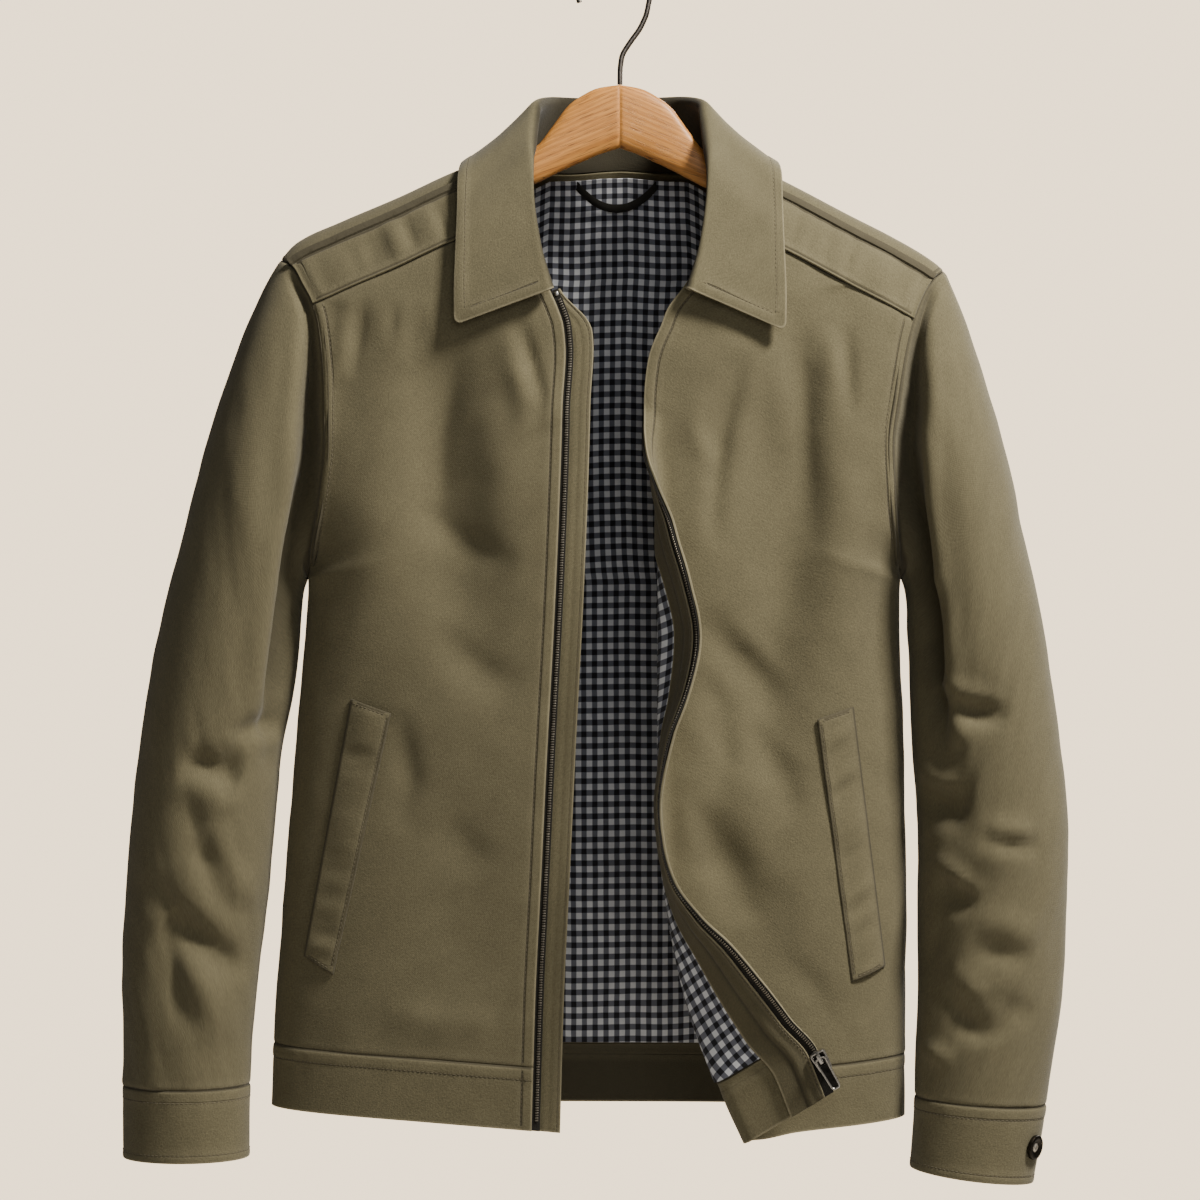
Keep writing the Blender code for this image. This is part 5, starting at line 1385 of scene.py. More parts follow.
def makeBackYoke():
    keys = np.unique(np.concatenate([np.linspace(-1, 1, 181), [-0.99, -0.995, 0.99, 0.995]]))
    shares = spaced(110, yokes["step"])
    grid = np.zeros((len(shares), len(keys), 2))
    for side, sign in sides.items():
        neck, neckKeys, outer, outerKeys = yokeRims(side)
        use = keys * sign >= 0
        inner = sampled(np.abs(keys[use]), neckKeys, neck)
        outside = sampled(np.abs(keys[use]), outerKeys, outer)
        grid[:, use] = inner + (outside - inner) * shares[:, None, None]
    points = chartPoint(grid[..., 0], grid[..., 1])
    yoke = Cloth(points, gridInward(points))
    yoke.lift(0.4 * drift(61, points[..., 0], points[..., 2], 34))
    yoke.seam("bottom", 0.8).seam("first", 0.6).seam("last", 0.6)
    yoke.topstitch("bottom", yokes["backStitch"], rise=0.25, pucker=0.25, seed=62)
    hung(clothPiece("backYoke", yoke, shellWall, twill), "back_yoke")
    return yoke


def makeFrontYoke(side):
    rows = spaced(yokeLowerDrop - yokeUpperDrop, 3.0) * yokes["lap"]
    drops = -(yokeUpperDrop + (yokeLowerDrop - yokeUpperDrop) * rows)
    inner, outer = necklineX(side, drops)[:, None], armholeX(side, drops)[:, None]
    points = chartPoint(inner + (outer - inner) * spaced(150, 3.4, False, True), drops[:, None])
    strip = Cloth(points, gridInward(points, flip=side == "right"))
    # it puckers between its two seams, and lies flat at the armhole
    middle = np.sin(np.pi * np.clip(strip.down / 36, 0, 1)) * ease(strip.away["last"] / 12)
    waves = wander(64 + sides[side], strip.across + 0.2 * strip.down, yokes["puckerSize"])
    strip.lift(yokes["puckerRise"] * middle * waves)
    strip.seam("top", 0.5).seam("last", 0.5, drawn=False)
    strip.topstitch("bottom", yokes["lowerStitch"], rise=0.3, pucker=0.2, seed=66, size=7)
    strip.topstitch("top", yokes["upperStitch"], rise=0.2, pucker=0.2, seed=67, size=7)
    strip.topstitch("last", fronts["armholeStitch"], rise=0.35, pucker=0.2, seed=68)
    return strip


def makeYokes():
    strips = {side: makeFrontYoke(side) for side in sides}
    sewn("yokeStitches", [makeBackYoke(), *strips.values()], thread)
    for side, strip in strips.items():
        strip.tuck("top")
        made = clothPiece("frontYoke" + side.title(), strip, shellWall, twill)
        hung(made, "front_yoke_" + side)


makeYokes()
print("yokes sewn")


# Sleeves and cuffs
sleeves = {
    "step": 4.2,
    "turn": 3.0,  # degrees between two columns
    "cut": (0.50, 0.60, 0.154),
    "cuffCut": (0.265, 0.051, 0.0133),
    "capPucker": 0.5,
    "cuffTopStitch": 8.4,
    "cuffStitch": 5.6,
    "rearDrop": 28,  # the drawn folds behind lie this much lower than those in front
    "softDrop": 45,  # the same for the soft folds
}

# The sleeve sinks in beside the armhole and stands out past it, and painted shade darkens the valley.
# A pair is a size at the valley's top and what is added at its foot.
valley = {
    "top": -228,
    "fall": 110,  # the valley deepens over this drop
    "start": -218,
    "end": -585,
    "middle": (4.5, 4.5),
    "width": (3.0, 4.0),
    "depth": (6, 14),
    "ridge": 3.5,
    "ridgeAway": 2.1,
    "lean": 0.12,  # the valley leaves the armhole's line by this below the underarm
    "behind": 0.35,
    # strength of the painted shade in the valley
    "shade": 0.8,
}


# Folds on the front of each sleeve, drawn like those on the fronts
sleeveDrape = {
    "right": [
        ([(-224, -533), (-244, -540), (-264, -549)], 8.5, -6.2, 0.2),
        ([(-222, -545), (-246, -553)], 8.5, 4, 0.2),
        ([(-259, -548), (-263, -580)], 8.5, -4.7, 0.2),
        ([(-298, -558), (-272, -570), (-256, -586)], 10, -5.6, 0.2),
        ([(-292, -571), (-272, -583), (-262, -600)], 10, 3.7, 0),
        ([(-294, -582), (-285, -615), (-287, -636)], 11, -5.3, 0.2),
        ([(-278, -604), (-256, -650), (-246, -668)], 11, 5.3, 0.2),
        ([(-288, -612), (-270, -652), (-256, -674)], 10, -4, 0.2),
        ([(-324, -640), (-298, -671), (-272, -693), (-260, -706)], 11, -6.5, 0.2),
        ([(-312, -668), (-301, -715), (-286, -753)], 12.5, -6.8, 0.2),
        ([(-296, -688), (-280, -726), (-268, -760)], 14, 5, 0.2),
        ([(-270, -690), (-255, -716)], 10, -3.4, 0.2),
        ([(-228, -230), (-236, -330), (-250, -460), (-262, -520)], 21, 4, 0),
    ],
    "left": [
        ([(217, -505), (237, -514), (268, -522)], 8.5, 4.6, 0.2),
        ([(222, -518), (242, -528), (272, -532)], 8, -5.8, 0.2),
        ([(237, -546), (229, -573)], 6.5, -3.4, 0),
        ([(206, -562), (222, -574), (240, -584)], 8, 5.6, 0.2),
        ([(208, -590), (244, -598)], 12, -8.6, 0.2),
        ([(246, -606), (292, -612)], 7, 2.6, 0),
        ([(250, -617), (294, -622)], 7, -4.4, 0.2),
        ([(219, -628), (234, -640), (250, -656)], 7.5, 5.0, 0.2),
        ([(219, -650), (250, -660)], 10, -6.6, 0.2),
        ([(226, -668), (217, -698), (224, -734)], 11, -4.6, 0.2),
        ([(242, -672), (268, -674), (294, -686)], 10, 2.6, 0),
        ([(244, -690), (288, -698)], 9, -4.0, 0.2),
        ([(236, -700), (246, -720), (264, -744)], 9, 3.6, 0),
        ([(226, -716), (240, -740), (258, -756)], 9, -5.0, 0.2),
        ([(213, -757), (233, -772)], 7, 4.2, 0.2),
        ([(262, -730), (292, -738)], 10, -2.6, 0.2),
        ([(214, -428), (198, -474)], 8.5, 4.6, 0.2),
        ([(217, -440), (212, -506)], 11, -6.4, 0.2),
    ],
}


def sleeveRing(side, station, turns, seam):
    # one ring of the sleeve, which starts from the armhole's seam
    table, sign = sleeveRings[side], sides[side]
    row = {name: float(table(name, station)) for name in table.columns}
    reachX, middleX = (sign * (row["outerX"] + k * row["innerX"]) / 2 for k in (-1, 1))
    reachZ, middleZ = ((row["outerZ"] + k * row["innerZ"]) / 2 for k in (-1, 1))
    depth = row["depth"] - row["pinch"] * np.abs(np.sin(turns)) ** 3
    x, z = middleX + reachX * np.cos(turns), middleZ + reachZ * np.cos(turns)
    ring = np.stack([x, row["middle"] - depth * np.sin(turns), z], axis=-1)
    ring = seam + (ring - seam) * (1 - np.clip(1 - station / sleeveBlend, 0, 1) ** 2)
    fade = ease(station / 40) * ease((cuffStation - station) / 6)
    drops = (0, sleeves["softDrop"])
    folds, behind = (foldHeight(sleeveFolds[side], ring[:, 0], ring[:, 2] + drop) for drop in drops)
    front, rear = np.clip(np.sin(turns), 0, 1), np.clip(-np.sin(turns), 0, 1)
    ring[:, 1] += fade * (-folds * front + behind * rear)
    return ring


def sinkValley(cloth, side, stations, facing):
    x, z = cloth.points[..., 0], cloth.points[..., 2]
    line = armholeLine[side]
    slope = (line("x", z + 3) - line("x", z - 3)) / 6
    beside = (sides[side] * x - line("x", z)) / np.sqrt(1 + slope**2)
    beside = beside - valley["lean"] * np.clip(underarmHeight - z, 0, 200)
    low = ease((valley["top"] - z) / valley["fall"])
    reach = ease((valley["start"] - z) / 24) * ease((z - valley["end"]) / 110) * ease(stations / 1.2)[:, None]
    middle, wide, deep = (valley[key][0] + valley[key][1] * low for key in ("middle", "width", "depth"))
    sunk = deep * bell(beside - middle, wide)
    sunk -= valley["ridge"] * low * bell(beside - middle - valley["ridgeAway"] * wide, wide)
    cloth.lift(-sunk * reach * np.where(facing > 0, ease(facing * 2), valley["behind"] * ease(-facing * 2)))
    # painted shade in the front of the valley
    cloth.shade = valley["shade"] * reach * ease(facing * 2) * bell(beside - middle + 2, wide)


def sleeveCloth(side, stations, turns, draped=False):
    sign = sides[side]
    seam = armholeRing(side, turns)
    seam[:, 0] += sign * sleeveGap
    seam[:, 2] += sleeveGap * ease(-np.cos(turns))
    points = np.array([sleeveRing(side, station, turns, seam) for station in stations])
    cloth = Cloth(points, gridInward(points, flip=side == "right", closed=True), closed=True)
    near = 1 - ease(stations / 4)[:, None]
    cloth.inward[..., 0] += sign * np.clip(-sign * cloth.inward[..., 0], 0, None) * near
    cloth.inward = unit(cloth.inward)
    facing = np.sin(turns)[None] * np.ones_like(cloth.down)
    sinkValley(cloth, side, stations, facing)
    if draped:
        ends = ease(stations / 3)[:, None] * ease((cuffStation - stations) / 3)[:, None]
        cloth.fold(sleeveDrape[side], ends * ease(facing * 1.6))
        drop = sleeves["rearDrop"]
        behind = [
            ([(x, z - drop) for x, z in path], width * 1.3, rise * 0.8, steep)
            for path, width, rise, steep in sleeveDrape[side]
        ]
        cloth.fold(behind, ends * ease(-facing * 1.6))
    return cloth


def makeSleeve(side):
    sign, title = sides[side], side.title()
    turns = np.radians(np.arange(0, 360, sleeves["turn"]))
    coarse = np.linspace(0, cuffStation, 80)
    run = sleeveCloth(side, coarse, turns[::10]).down.mean(axis=1)
    stations = np.interp(spaced(run[-1], sleeves["step"]) * run[-1], run, coarse)
    arm = sleeveCloth(side, stations, turns, draped=True)
    turned = turns[None, :] + 0 * arm.down
    around = np.cos(turned) * 70
    broad = drift(71 + sign, around + arm.down * 0.25, arm.down, 46)
    small = drift(75 + sign, around * 1.5, arm.down, 18)
    arm.lift(ease(arm.down / 30) * (0.9 * broad + 0.35 * small))
    arm.seam("top", 0.6).seam("bottom", 0.8)
    gathers = np.exp(-np.abs(arm.down - 4) / 9) * wander(77 + sign, np.degrees(turned), 5)
    arm.lift(sleeves["capPucker"] * gathers * ease(arm.down / 3))
    cuff = sleeveCloth(side, cuffStation + 8 * spaced(52, 3.4), turns, draped=True)
    cuff.lift(0.25 * drift(81 + sign, np.cos(turned[: len(cuff.down)]) * 40, cuff.down, 20))
    cuff.seam("top", 0.5).edge("bottom")
    cuff.topstitch("top", sleeves["cuffTopStitch"], rise=0.3, pucker=0.3, seed=83 + sign, size=7)
    cuff.topstitch("bottom", sleeves["cuffStitch"], rise=0.3, pucker=0.2, seed=85 + sign, size=7)
    sewn("cuffStitches" + title, [cuff], thread)
    arm.tuck("top", 3.0, 1.9).tuck("bottom", 4.0, 2.4)
    hung(clothPiece("sleeve" + title, arm, shellWall, twill), "sleeve_" + side)
    hung(clothPiece("cuff" + title, cuff, cuffWall, twill), "cuff_" + side)


for side in sides:
    makeSleeve(side)
print("sleeves sewn")


# Collar
collar = {
    "wall": 1.6,
    "stitch": 8.2,
    "corner": 6.0,
    "cut": (0.55, 0.095, 0.0453),
    "tipStations": [4.86, 4.9, 4.94, 4.97, 4.99, 5],
    "standColumn": 12,  # the last column of the roll, which the painted shade over the stand's inside starts from
}


def fineSection(station, side):
    points = collarSection(station, side)
    run = runOf(points)
    start, end = run[2], run[10]  # the roll, between the stand and the fall
    stand = np.concatenate([np.linspace(0, start, 8)[:-1], np.linspace(start, end, 13)[:-1]])
    fall = end + (run[-1] - end) * spaced(run[-1] - end, 3.4, False, True)
    return sampled(np.concatenate([stand, fall]), run, points)


def makeCollar():
    stations = np.concatenate([np.linspace(0, 4.8, 62), collar["tipStations"]])
    sections = [fineSection(s, "right") for s in stations[:0:-1]] + [fineSection(s, "left") for s in stations]
    shares = np.linspace(0, 1, min(len(s) for s in sections))
    same = [s if len(s) == len(shares) else sampled(shares, np.linspace(0, 1, len(s)), s) for s in sections]
    leaf = Cloth(same, gridInward(np.array(same), flip=True))
    column = collar["standColumn"]
    roll, stitched = float(leaf.across[0, column + 1]), collar["stitch"]
    leaf.lift(0.35 * drift(91, leaf.across, leaf.down, 30) * ease(leaf.across / 30))
    leaf.edge("last", "top", "bottom")
    # painted shade over the stand's inside, up to the roll
    leaf.shade = 1.1 - 1.1 * ease((leaf.across - leaf.across[:, column : column + 1]) / 5)
    leaf.cornered("top", "last", collar["corner"]).cornered("bottom", "last", collar["corner"])
    leaf.topstitch("last", stitched, stitched, stitched, rise=0.4, pucker=0.25, seed=92, size=8)
    for border in ("top", "bottom"):
        leaf.topstitch(border, stitched, roll + 6, stitched, rise=0.4, pucker=0.2, seed=93, size=8)
    hung(clothPiece("collarLeaf", leaf, collar["wall"], twill), "collar")
    sewn("collarStitches", [leaf], thread)


makeCollar()
print("collar sewn")


# Pocket welts and the loop at the neck
welts = {"cut": (0.029, 0.185, 0.0053), "stitch": 2.4, "rise": 0.6, "pucker": 1.5, "sunk": 0.4, "size": 9}


def makeWelt(side):
    topA, topB, lowB, lowA = (np.array(c, float) for c in weltCorners[side])
    down, over = spaced(183, 3.0)[:, None, None], spaced(28, 2.4)[None, :, None]
    flat = (topA * (1 - over) + topB * over) * (1 - down) + (lowA * (1 - over) + lowB * over) * down
    points = bodyPoint(flat[..., 0], flat[..., 1], False)
    welt = Cloth(points, inwardOf(points, False))
    welt.lift(np.full(welt.down.shape, layerGap + weltWall - welts["sunk"]))
    middle = np.sin(np.pi * np.clip(welt.across / 28, 0, 1))
    waves = wander(101 + sides[side], welt.down + 0.3 * welt.across, welts["size"])
    welt.lift(welts["rise"] * middle + welts["pucker"] * middle * waves)
    # the pocket opens along the outer long edge, which gets a painted shadow line; the other three are
    # stitched down
    outward = abs(points[0, -1, 0]) > abs(points[0, 0, 0])
    opening, inner = ("last", "first") if outward else ("first", "last")
    # painted shadow along the opening, through the groove colour and the shade field
    welt.thread = welt.away[opening] * 0.5
    welt.shade = bell(welt.away[opening], 1.5)
    for border in (inner, "top", "bottom"):
        welt.seam(border, 0.3).topstitch(border, welts["stitch"], 1.8, 1.8, rise=0.1, pucker=0.25, seed=103)
    made = clothPiece("pocketWelt" + side.title(), welt, weltWall, twill)
    hung(made, "pocket_welt_" + side)
    return welt


sewn("weltStitches", [makeWelt(side) for side in sides], thread)

neckLoop = {"wall": 1.6, "clear": 2.0, "crown": 0.7, "cut": (0.012, 0.08, 0.0005)}


def makeLoop():
    t = np.linspace(-1, 1, 61)
    x = collarMiddle - 2 + loopEnds * t
    z = loopTop - loopDip * (1 - t**2)
    over = np.linspace(0, 1, 9)
    heights = z[:, None] - loopHeight * over
    points = bodyPoint(np.broadcast_to(x[:, None], heights.shape), heights, True)
    loop = Cloth(points, inwardOf(points, True))
    loop.lift(-neckLoop["crown"] * np.sin(np.pi * over)[None] * np.ones_like(loop.down))
    depth = liningDepth + liningWall + neckLoop["clear"]
    made = clothPiece("hangerLoop", loop, neckLoop["wall"], tape, depth)
    hung(made, "hanger_loop")


makeLoop()
print("welts and loop sewn")


# Zip: teeth and top stops, one shape each set along the tapes
zipTeeth = {
    "pitch": 1.75,
    "size": (0.95, 2.3, 1.1),
    "stop": (3.2, 2.6, 1.6),
    "first": 0.114,  # the row where the zip starts
    "left": {"column": 2.3, "depth": underShell + tapeWall + 0.35, "out": -1, "last": 1.4},
    "right": {"column": -3.2, "depth": underShell - 0.35, "out": 1, "last": 1.92},
}


def block(name, size, middle=(0, 0, 0), corner=0.0, steps=4):
    # a block in millimetres, its upright corners rounded
    bpy.ops.object.select_all(action="DESELECT")
    bpy.ops.mesh.primitive_cube_add(size=mm, location=[c * mm for c in middle])
    piece = bpy.context.object
    piece.name, piece.scale = name, size
    bpy.ops.object.transform_apply(location=True, scale=True)
    if corner:
        bpy.ops.object.mode_set(mode="EDIT")
        bpy.ops.mesh.select_mode(type="EDGE")
        bpy.ops.mesh.select_all(action="DESELECT")
        bpy.ops.object.mode_set(mode="OBJECT")
        for edge in piece.data.edges:
            ends = [piece.data.vertices[v].co for v in edge.vertices]
            edge.select = (ends[0] - ends[1]).xy.length < 1e-6
        bpy.ops.object.mode_set(mode="EDIT")
        bpy.ops.mesh.bevel(offset=corner * mm, segments=steps, affect="EDGES")
        bpy.ops.object.mode_set(mode="OBJECT")
    return piece


def rounded(name, size, bevel):
    # a small block's points and faces, in millimetres
    piece = block(name, size)
    modified(piece, "BEVEL", width=bevel * mm, segments=2)
    shape = [tuple(v.co / mm) for v in piece.data.vertices], [tuple(f.vertices) for f in piece.data.polygons]
    bpy.data.objects.remove(piece)
    return shape


def makeTeeth():
    tooth = rounded("tooth", zipTeeth["size"], 0.2)
    stop = rounded("stop", zipTeeth["stop"], 0.5)
    first = zipTeeth["first"]
    rows = np.concatenate([np.linspace(first - 0.012, 0.2, 20), panelRows[panelRows > 0.205], bandRows[1:]])
    for side in ("left", "right"):
        chain = zipTeeth[side]
        strip = frontCloth(side, rows, chain["column"] + np.array([-1, 0, 1]))
        points = strip.points[:, 1] + strip.inward[:, 1] * chain["depth"]
        out = -strip.inward[:, 1] * chain["out"]
        keep = (rows > first) & (rows < chain["last"])
        places = stops(points[keep], out[keep], zipTeeth["pitch"])
        teeth = repeated("zipTeeth" + side.title(), *tooth, places, metal["teethMetal"])
        crest = stops(points[rows < 0.13], out[rows < 0.13], 3.4)[1:2]
        top = repeated("topStop" + side.title(), *stop, crest, metal["zipMetal"])
        for piece in (teeth, top):
            handOver(piece, "jacket")


makeTeeth()
print("zip made")


# The slider and its pull, drawn lying on their own face and then set on the turned edge
slider = {
    "row": 1.5,  # it sits on the band's turned edge
    "seat": 0.6,
    "size": (15, 11, 4),
    "bridge": (6.8, 2.4, 5.0),
    "tunnel": (4.6, 4.0, 2.9),
    "pull": (24.7, 9, 1.4),
    "slot": (4.3, 4.2),
    "axis": (-3.2, 5.45),  # the pull's hinge, along the slider and over its underside
    "taper": 0.22,
    "waist": 0.3,
    "shoulder": 0.12,
    "corner": 2.2,
    "pullCorner": 2.6,
    # from the rim inwards: the width of each ring, how far its inner side is sunk, and its finish
    "insets": ((1.1, 0.0, 0), (0.25, 0.5, 1)),
    "pullInsets": ((0.95, 0.0, 0), (0.3, 0.42, 1)),
}


def inset(piece, rim, sunk, slot):
    # the widest top face drawn in by the rim and pushed down
    faces = piece.data.polygons
    top = max(faces, key=lambda f: (round(f.normal.z, 2) > 0.9) * f.area)
    for other in faces:
        other.select = other == top
    for element in (*piece.data.edges, *piece.data.vertices):
        element.select = False
    chosen(piece)
    bpy.ops.object.mode_set(mode="EDIT")
    bpy.ops.mesh.select_mode(type="FACE")
    bpy.ops.mesh.inset(thickness=rim * mm, depth=-sunk * mm)
    if slot:
        piece.active_material_index = slot
        bpy.ops.object.material_slot_assign()
    bpy.ops.object.mode_set(mode="OBJECT")


def cutOut(piece, tool):
    modified(piece, "BOOLEAN", operation="DIFFERENCE", object=tool, solver="EXACT")
    bpy.data.objects.remove(tool)


def standing(down, face, start):
    # sets a piece here, with its x along `down` and its z along `face`
    across = np.cross(face, down)
    return Matrix([[down[i], across[i], face[i], start[i] * mm] for i in range(3)] + [[0, 0, 0, 1]])


def settled(piece, place, node, body, soften):
    # rounds the rims, sets the piece in its place and hands it over
    rounding = {"width": soften * mm, "segments": 2, "limit_method": "ANGLE"}
    modified(piece, "BEVEL", angle_limit=math.radians(40), **rounding)
    shaded(piece, 35)
    piece.matrix_world = place
    bpy.ops.object.transform_apply(location=True, rotation=True, scale=True)
    handOver(piece, body, node)


def finished(piece, *finishes):
    for finish in finishes:
        piece.data.materials.append(finish)


def sliderPlace():
    rows = slider["row"] + np.array([-0.4, 0.0, 0.02])
    cloth = frontCloth("left", rows, np.array([0.0, 1.0, 2.0]))
    down = unit(cloth.points[2, 0] - cloth.points[0, 0])
    face = cloth.inward[1, 0]
    face = unit(face - down * np.dot(face, down))
    return standing(down, face, cloth.points[1, 0] + face * (underTape + slider["seat"]))


def makeSlider():
    place = sliderPlace()
    length, width, thick = slider["size"]
    along, rise = slider["axis"]
    body = block("zipSlider", slider["size"], (0, 0, thick / 2), slider["corner"])
    for vertex in body.data.vertices:
        vertex.co.y *= 1 - slider["taper"] * float(ease(vertex.co.x / (length / 2 * mm)))
    finished(body, metal["zipMetal"], metal["darkEnamel"])
    for rim, sunk, slot in slider["insets"]:
        inset(body, rim, sunk, slot)
    high, clear = slider["bridge"][2] / 2 - 0.9, slider["tunnel"][2] / 2 - 0.05
    arch = block("arch", slider["bridge"], (along, 0, thick + high), 0.5, 2)
    finished(arch, metal["zipMetal"])
    cutOut(arch, block("tunnel", slider["tunnel"], (along, 0, thick + clear)))
    chosen(body)
    arch.select_set(True)
    bpy.ops.object.join()
    settled(body, place, "zip_slider", "jacket", 0.22)
    long, wide, flat = slider["pull"]
    pull = block("zipPull", slider["pull"], (along + long / 2 - 0.7, 0, rise), slider["pullCorner"], 5)
    for vertex in pull.data.vertices:
        past = (vertex.co.x / mm - along) / long
        waist = slider["waist"] * float(ease((past - 0.55) / 0.45))
        vertex.co.y *= 1 - waist - slider["shoulder"] * float(ease((0.2 - past) / 0.2))
    finished(pull, metal["zipMetal"], metal["darkEnamel"])
    for rim, sunk, slot in slider["pullInsets"]:
        inset(pull, rim, sunk, slot)
    hole = slider["slot"]
    cutOut(pull, block("hole", (*hole, 6), (along + 0.9 + hole[0] / 2, 0, rise), 0.9, 3))
    settled(pull, place, "zip_pull", "pull_tab", 0.14)


makeSlider()
print("slider and pull made")


# Cuff snaps: a dark ring with a pale pin in its middle
snaps = {
    "radius": 8.5,
    "height": 2.6,
    "station": 104.2,
    "turn": {"right": 322.0, "left": 33.0},
    # from the rim to the pin: the width of each ring, how far its inner side is sunk, and its finish
    "insets": ((1.6, -0.35, 0), (1.2, 0.1, 0), (1.5, 1.1, 0), (1.0, 0.15, 1), (1.2, -0.9, 1)),
}


def makeSnap(side):
    stations = snaps["station"] + np.array([-0.5, 0, 0.5])
    ring = sleeveCloth(side, stations, np.radians(snaps["turn"][side] + np.arange(-3, 4, 3.0)))
    face = -ring.inward[1, 1]
    down = ring.points[2, 1] - ring.points[0, 1]
    down = unit(down - face * np.dot(down, face))
    place = standing(down, face, ring.points[1, 1] + face * layerGap)
    radius, high = snaps["radius"] * mm, snaps["height"] * mm
    bpy.ops.object.select_all(action="DESELECT")
    bpy.ops.mesh.primitive_cylinder_add(vertices=40, radius=radius, depth=high, location=(0, 0, high / 2))
    disc = bpy.context.object
    disc.name = "cuffSnap" + side.title()
    bpy.ops.object.transform_apply(location=True)
    finished(disc, metal["snapMetal"], metal["snapPin"])
    for rim, sunk, slot in snaps["insets"]:
        inset(disc, rim, sunk, slot)
    settled(disc, place, "cuff_snap_" + side, "jacket", 0.3)


for side in sides:
    makeSnap(side)
print("snaps made")


# Hanger
hanger = {
    "step": 3.5,
    "tip": 6,  # how far from its end an arm starts to round off
    "taper": 0.35,
    "crease": (0.09, 0.9),  # depth and width of the groove between the two arms
    "grainLean": (0.42, 0.38),  # the slope of the grain beside the middle and along the arm
    "grainLeanPlace": 70,
}


def makeHangerWood():
    half, tip = hangerHalfLength, hanger["tip"]
    ends = [0.5, 1.2, 2.4, half - 5, half - 3, half - 1.5, half - 0.5, half]
    distances = np.unique(np.concatenate([np.arange(0, half - tip, hanger["step"]), ends]))
    places = collarMiddle + np.concatenate([-distances[:0:-1], distances])
    turns = np.radians(np.arange(0, 360, 10.0))
    sine, cosine = np.sin(turns), np.cos(turns)
    crease, creaseWidth = hanger["crease"]
    rings = []
    for x in places:
        top, bottom = hangerProfile(x)
        away = abs(x - collarMiddle)
        rounding = math.sqrt(max(0.0, 1 - max(0.0, (away - half + tip) / tip) ** 2))
        narrow = 1 - hanger["taper"] * float(ease((away / half - 0.9) / 0.1))
        thick = hangerHalfThickness * narrow * max(rounding, 0.12)
        tall = (top - bottom) / 2 * max(rounding, 0.3)
        y = thick * np.sign(sine) * np.abs(sine) ** 0.6
        z = (top + bottom) / 2 + tall * np.sign(cosine) * np.abs(cosine) ** 0.75
        y = y * (1 - crease * math.exp(-((away / creaseWidth) ** 2)))
        rings.append(np.stack([np.full(len(turns), x), y, z], axis=-1))
    flat = np.array(rings).reshape(-1, 3)
    rows, columns = len(rings), len(turns)
    i, j = np.meshgrid(np.arange(rows - 1), np.arange(columns), indexing="ij")
    k = (j + 1) % columns
    corners = [(i, j), (i, k), (i + 1, k), (i + 1, j)]
    faces = np.stack([a * columns + b for a, b in corners], axis=-1).reshape(-1, 4)
    caps = [list(range(columns))[::-1], [(rows - 1) * columns + n for n in range(columns)]]
    mesh = bpy.data.meshes.new("hangerWood")
    mesh.from_pydata((flat * mm).tolist(), [], faces.tolist() + caps)
    mesh.update()
    # the grain runs along each arm, so it follows the slope of its middle line
    side, away = np.sign(flat[:, 0] - collarMiddle), np.abs(flat[:, 0] - collarMiddle)
    down = flat[:, 2] + away * np.where(away < hanger["grainLeanPlace"], *hanger["grainLean"])
    along = flat[:, 0] + side * 300 + flat[:, 2] * 0.2
    grain = np.stack([along, down + flat[:, 1] * 0.8 + side * 120], axis=-1) * mm
    index = np.zeros(len(mesh.loops), int)
    mesh.loops.foreach_get("vertex_index", index)
    mesh.uv_layers.new(name="cloth").data.foreach_set("uv", grain[index].ravel().astype(np.float32))
    piece = placed("hangerWood", mesh)
    edit = bmesh.new()
    edit.from_mesh(mesh)
    bmesh.ops.recalc_face_normals(edit, faces=edit.faces[:])
    edit.to_mesh(mesh)
    edit.free()
    shaded(piece, 50)
    mesh.materials.append(oak)
    handOver(piece, "jacket", "hanger_wood")


def makeHook():
    turns = np.radians(np.linspace(*hookArc, 60))
    middle = hookWireRadius - hookRadius
    arc = [(hookRadius * math.cos(t), middle + hookRadius * math.sin(t)) for t in turns]
    run = runOf(np.array(hookStem + arc))
    soft = sampled(np.linspace(0, run[-1], 150), run, hookStem + arc)
    for _ in range(10):
        soft[1:-1] = (soft[:-2] + 2 * soft[1:-1] + soft[2:]) / 4
    curve = bpy.data.curves.new("hangerHook", "CURVE")
    curve.dimensions, curve.bevel_depth, curve.bevel_resolution = "3D", hookWireRadius * mm, 4
    curve.use_fill_caps = True
    line = curve.splines.new("POLY")
    line.points.add(len(soft) - 1)
    for point, (x, z) in zip(line.points, soft):
        point.co = (x * mm, 0, z * mm, 1)
    piece = placed("hangerHook", curve)
    chosen(piece)
    bpy.ops.object.convert(target="MESH")
    shaded(piece, 50)
    piece.data.materials.clear()
    finished(piece, metal["hookSteel"])
    handOver(piece, "jacket", "hanger_hook")


makeHangerWood()
makeHook()
print("hanger made")


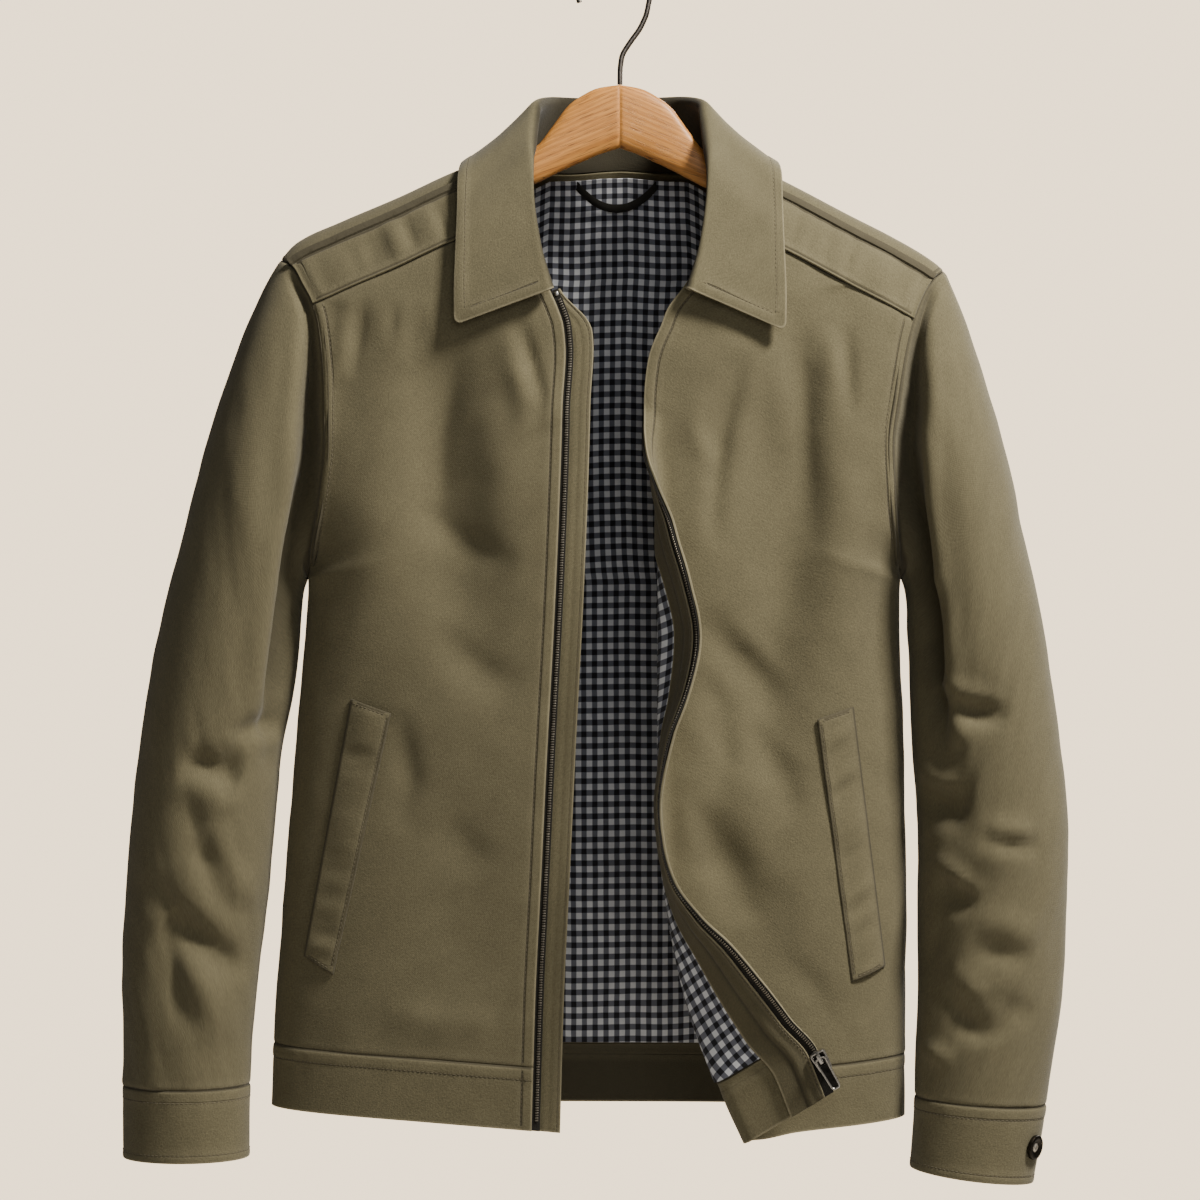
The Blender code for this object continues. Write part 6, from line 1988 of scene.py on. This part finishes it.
# Camera, light and floor
studio = {
    "distance": 2.4,
    "middle": (-0.0098, -0.4522),
    "across": 0.84,
    "key": {"place": (1.15, -0.8, 1.15), "size": 0.42, "power": 78, "colour": (1.0, 0.95, 0.88)},
    "fill": {"place": (0.35, -2.4, 0.3), "size": 1.0, "power": 8, "colour": (0.97, 0.98, 1.0)},
    "rear": {"place": (1.3, 2.1, 0.8), "size": 1.2, "power": 60, "colour": (1.0, 0.97, 0.93)},
    "glow": ((0.90, 0.86, 0.80), 0.09),
    "paper": ((1.0, 0.80, 0.55), 2.6),
    "floor": -1.75,
    "floorColours": ((0.74, 0.70, 0.64), (0.80, 0.76, 0.70)),
}


def makeStudio():
    x, z = studio["middle"]
    lens = bpy.data.cameras.new("camera")
    lens.sensor_width = 36
    lens.lens = 36 * studio["distance"] / studio["across"]
    camera = placed("camera", lens)
    camera.location = (x, -studio["distance"], z)
    camera.rotation_euler = (math.radians(90), 0, 0)
    bpy.context.scene.camera = camera
    for name in ("key", "fill", "rear"):
        lamp = studio[name]
        light = bpy.data.lights.new(name, "AREA")
        light.size, light.energy, light.color = lamp["size"], lamp["power"], lamp["colour"]
        holder = placed(name, light)
        holder.location = lamp["place"]
        aim = Vector((x, 0, z)) - Vector(lamp["place"])
        holder.rotation_euler = aim.to_track_quat("-Z", "Y").to_euler()
    world = bpy.data.worlds.new("studio")
    world.use_nodes = True
    # the pale paper behind the stand is brighter than the light it gives
    tree = world.node_tree
    seen = tree.nodes.new("ShaderNodeLightPath").outputs["Is Camera Ray"]
    mixed = tree.nodes.new("ShaderNodeMixShader")
    tree.links.new(seen, mixed.inputs[0])
    for place, name in enumerate(("glow", "paper"), 1):
        colour, strength = studio[name]
        shade = tree.nodes.new("ShaderNodeBackground")
        shade.inputs[0].default_value = (*colour, 1)
        shade.inputs[1].default_value = strength
        tree.links.new(shade.outputs[0], mixed.inputs[place])
    tree.links.new(mixed.outputs[0], tree.nodes["World Output"].inputs[0])
    bpy.context.scene.world = world
    bpy.ops.object.select_all(action="DESELECT")
    bpy.ops.mesh.primitive_plane_add(size=6, location=(0, 0, studio["floor"]))
    floor = bpy.context.object
    floor.name = "floor"
    look = Finish("paleFloor", Roughness=0.8)
    look.give(look.blend(look.noise(look.solid(), 3, 3), *studio["floorColours"]))
    floor.data.materials.append(look.material)


makeStudio()
bpy.context.view_layer.update()
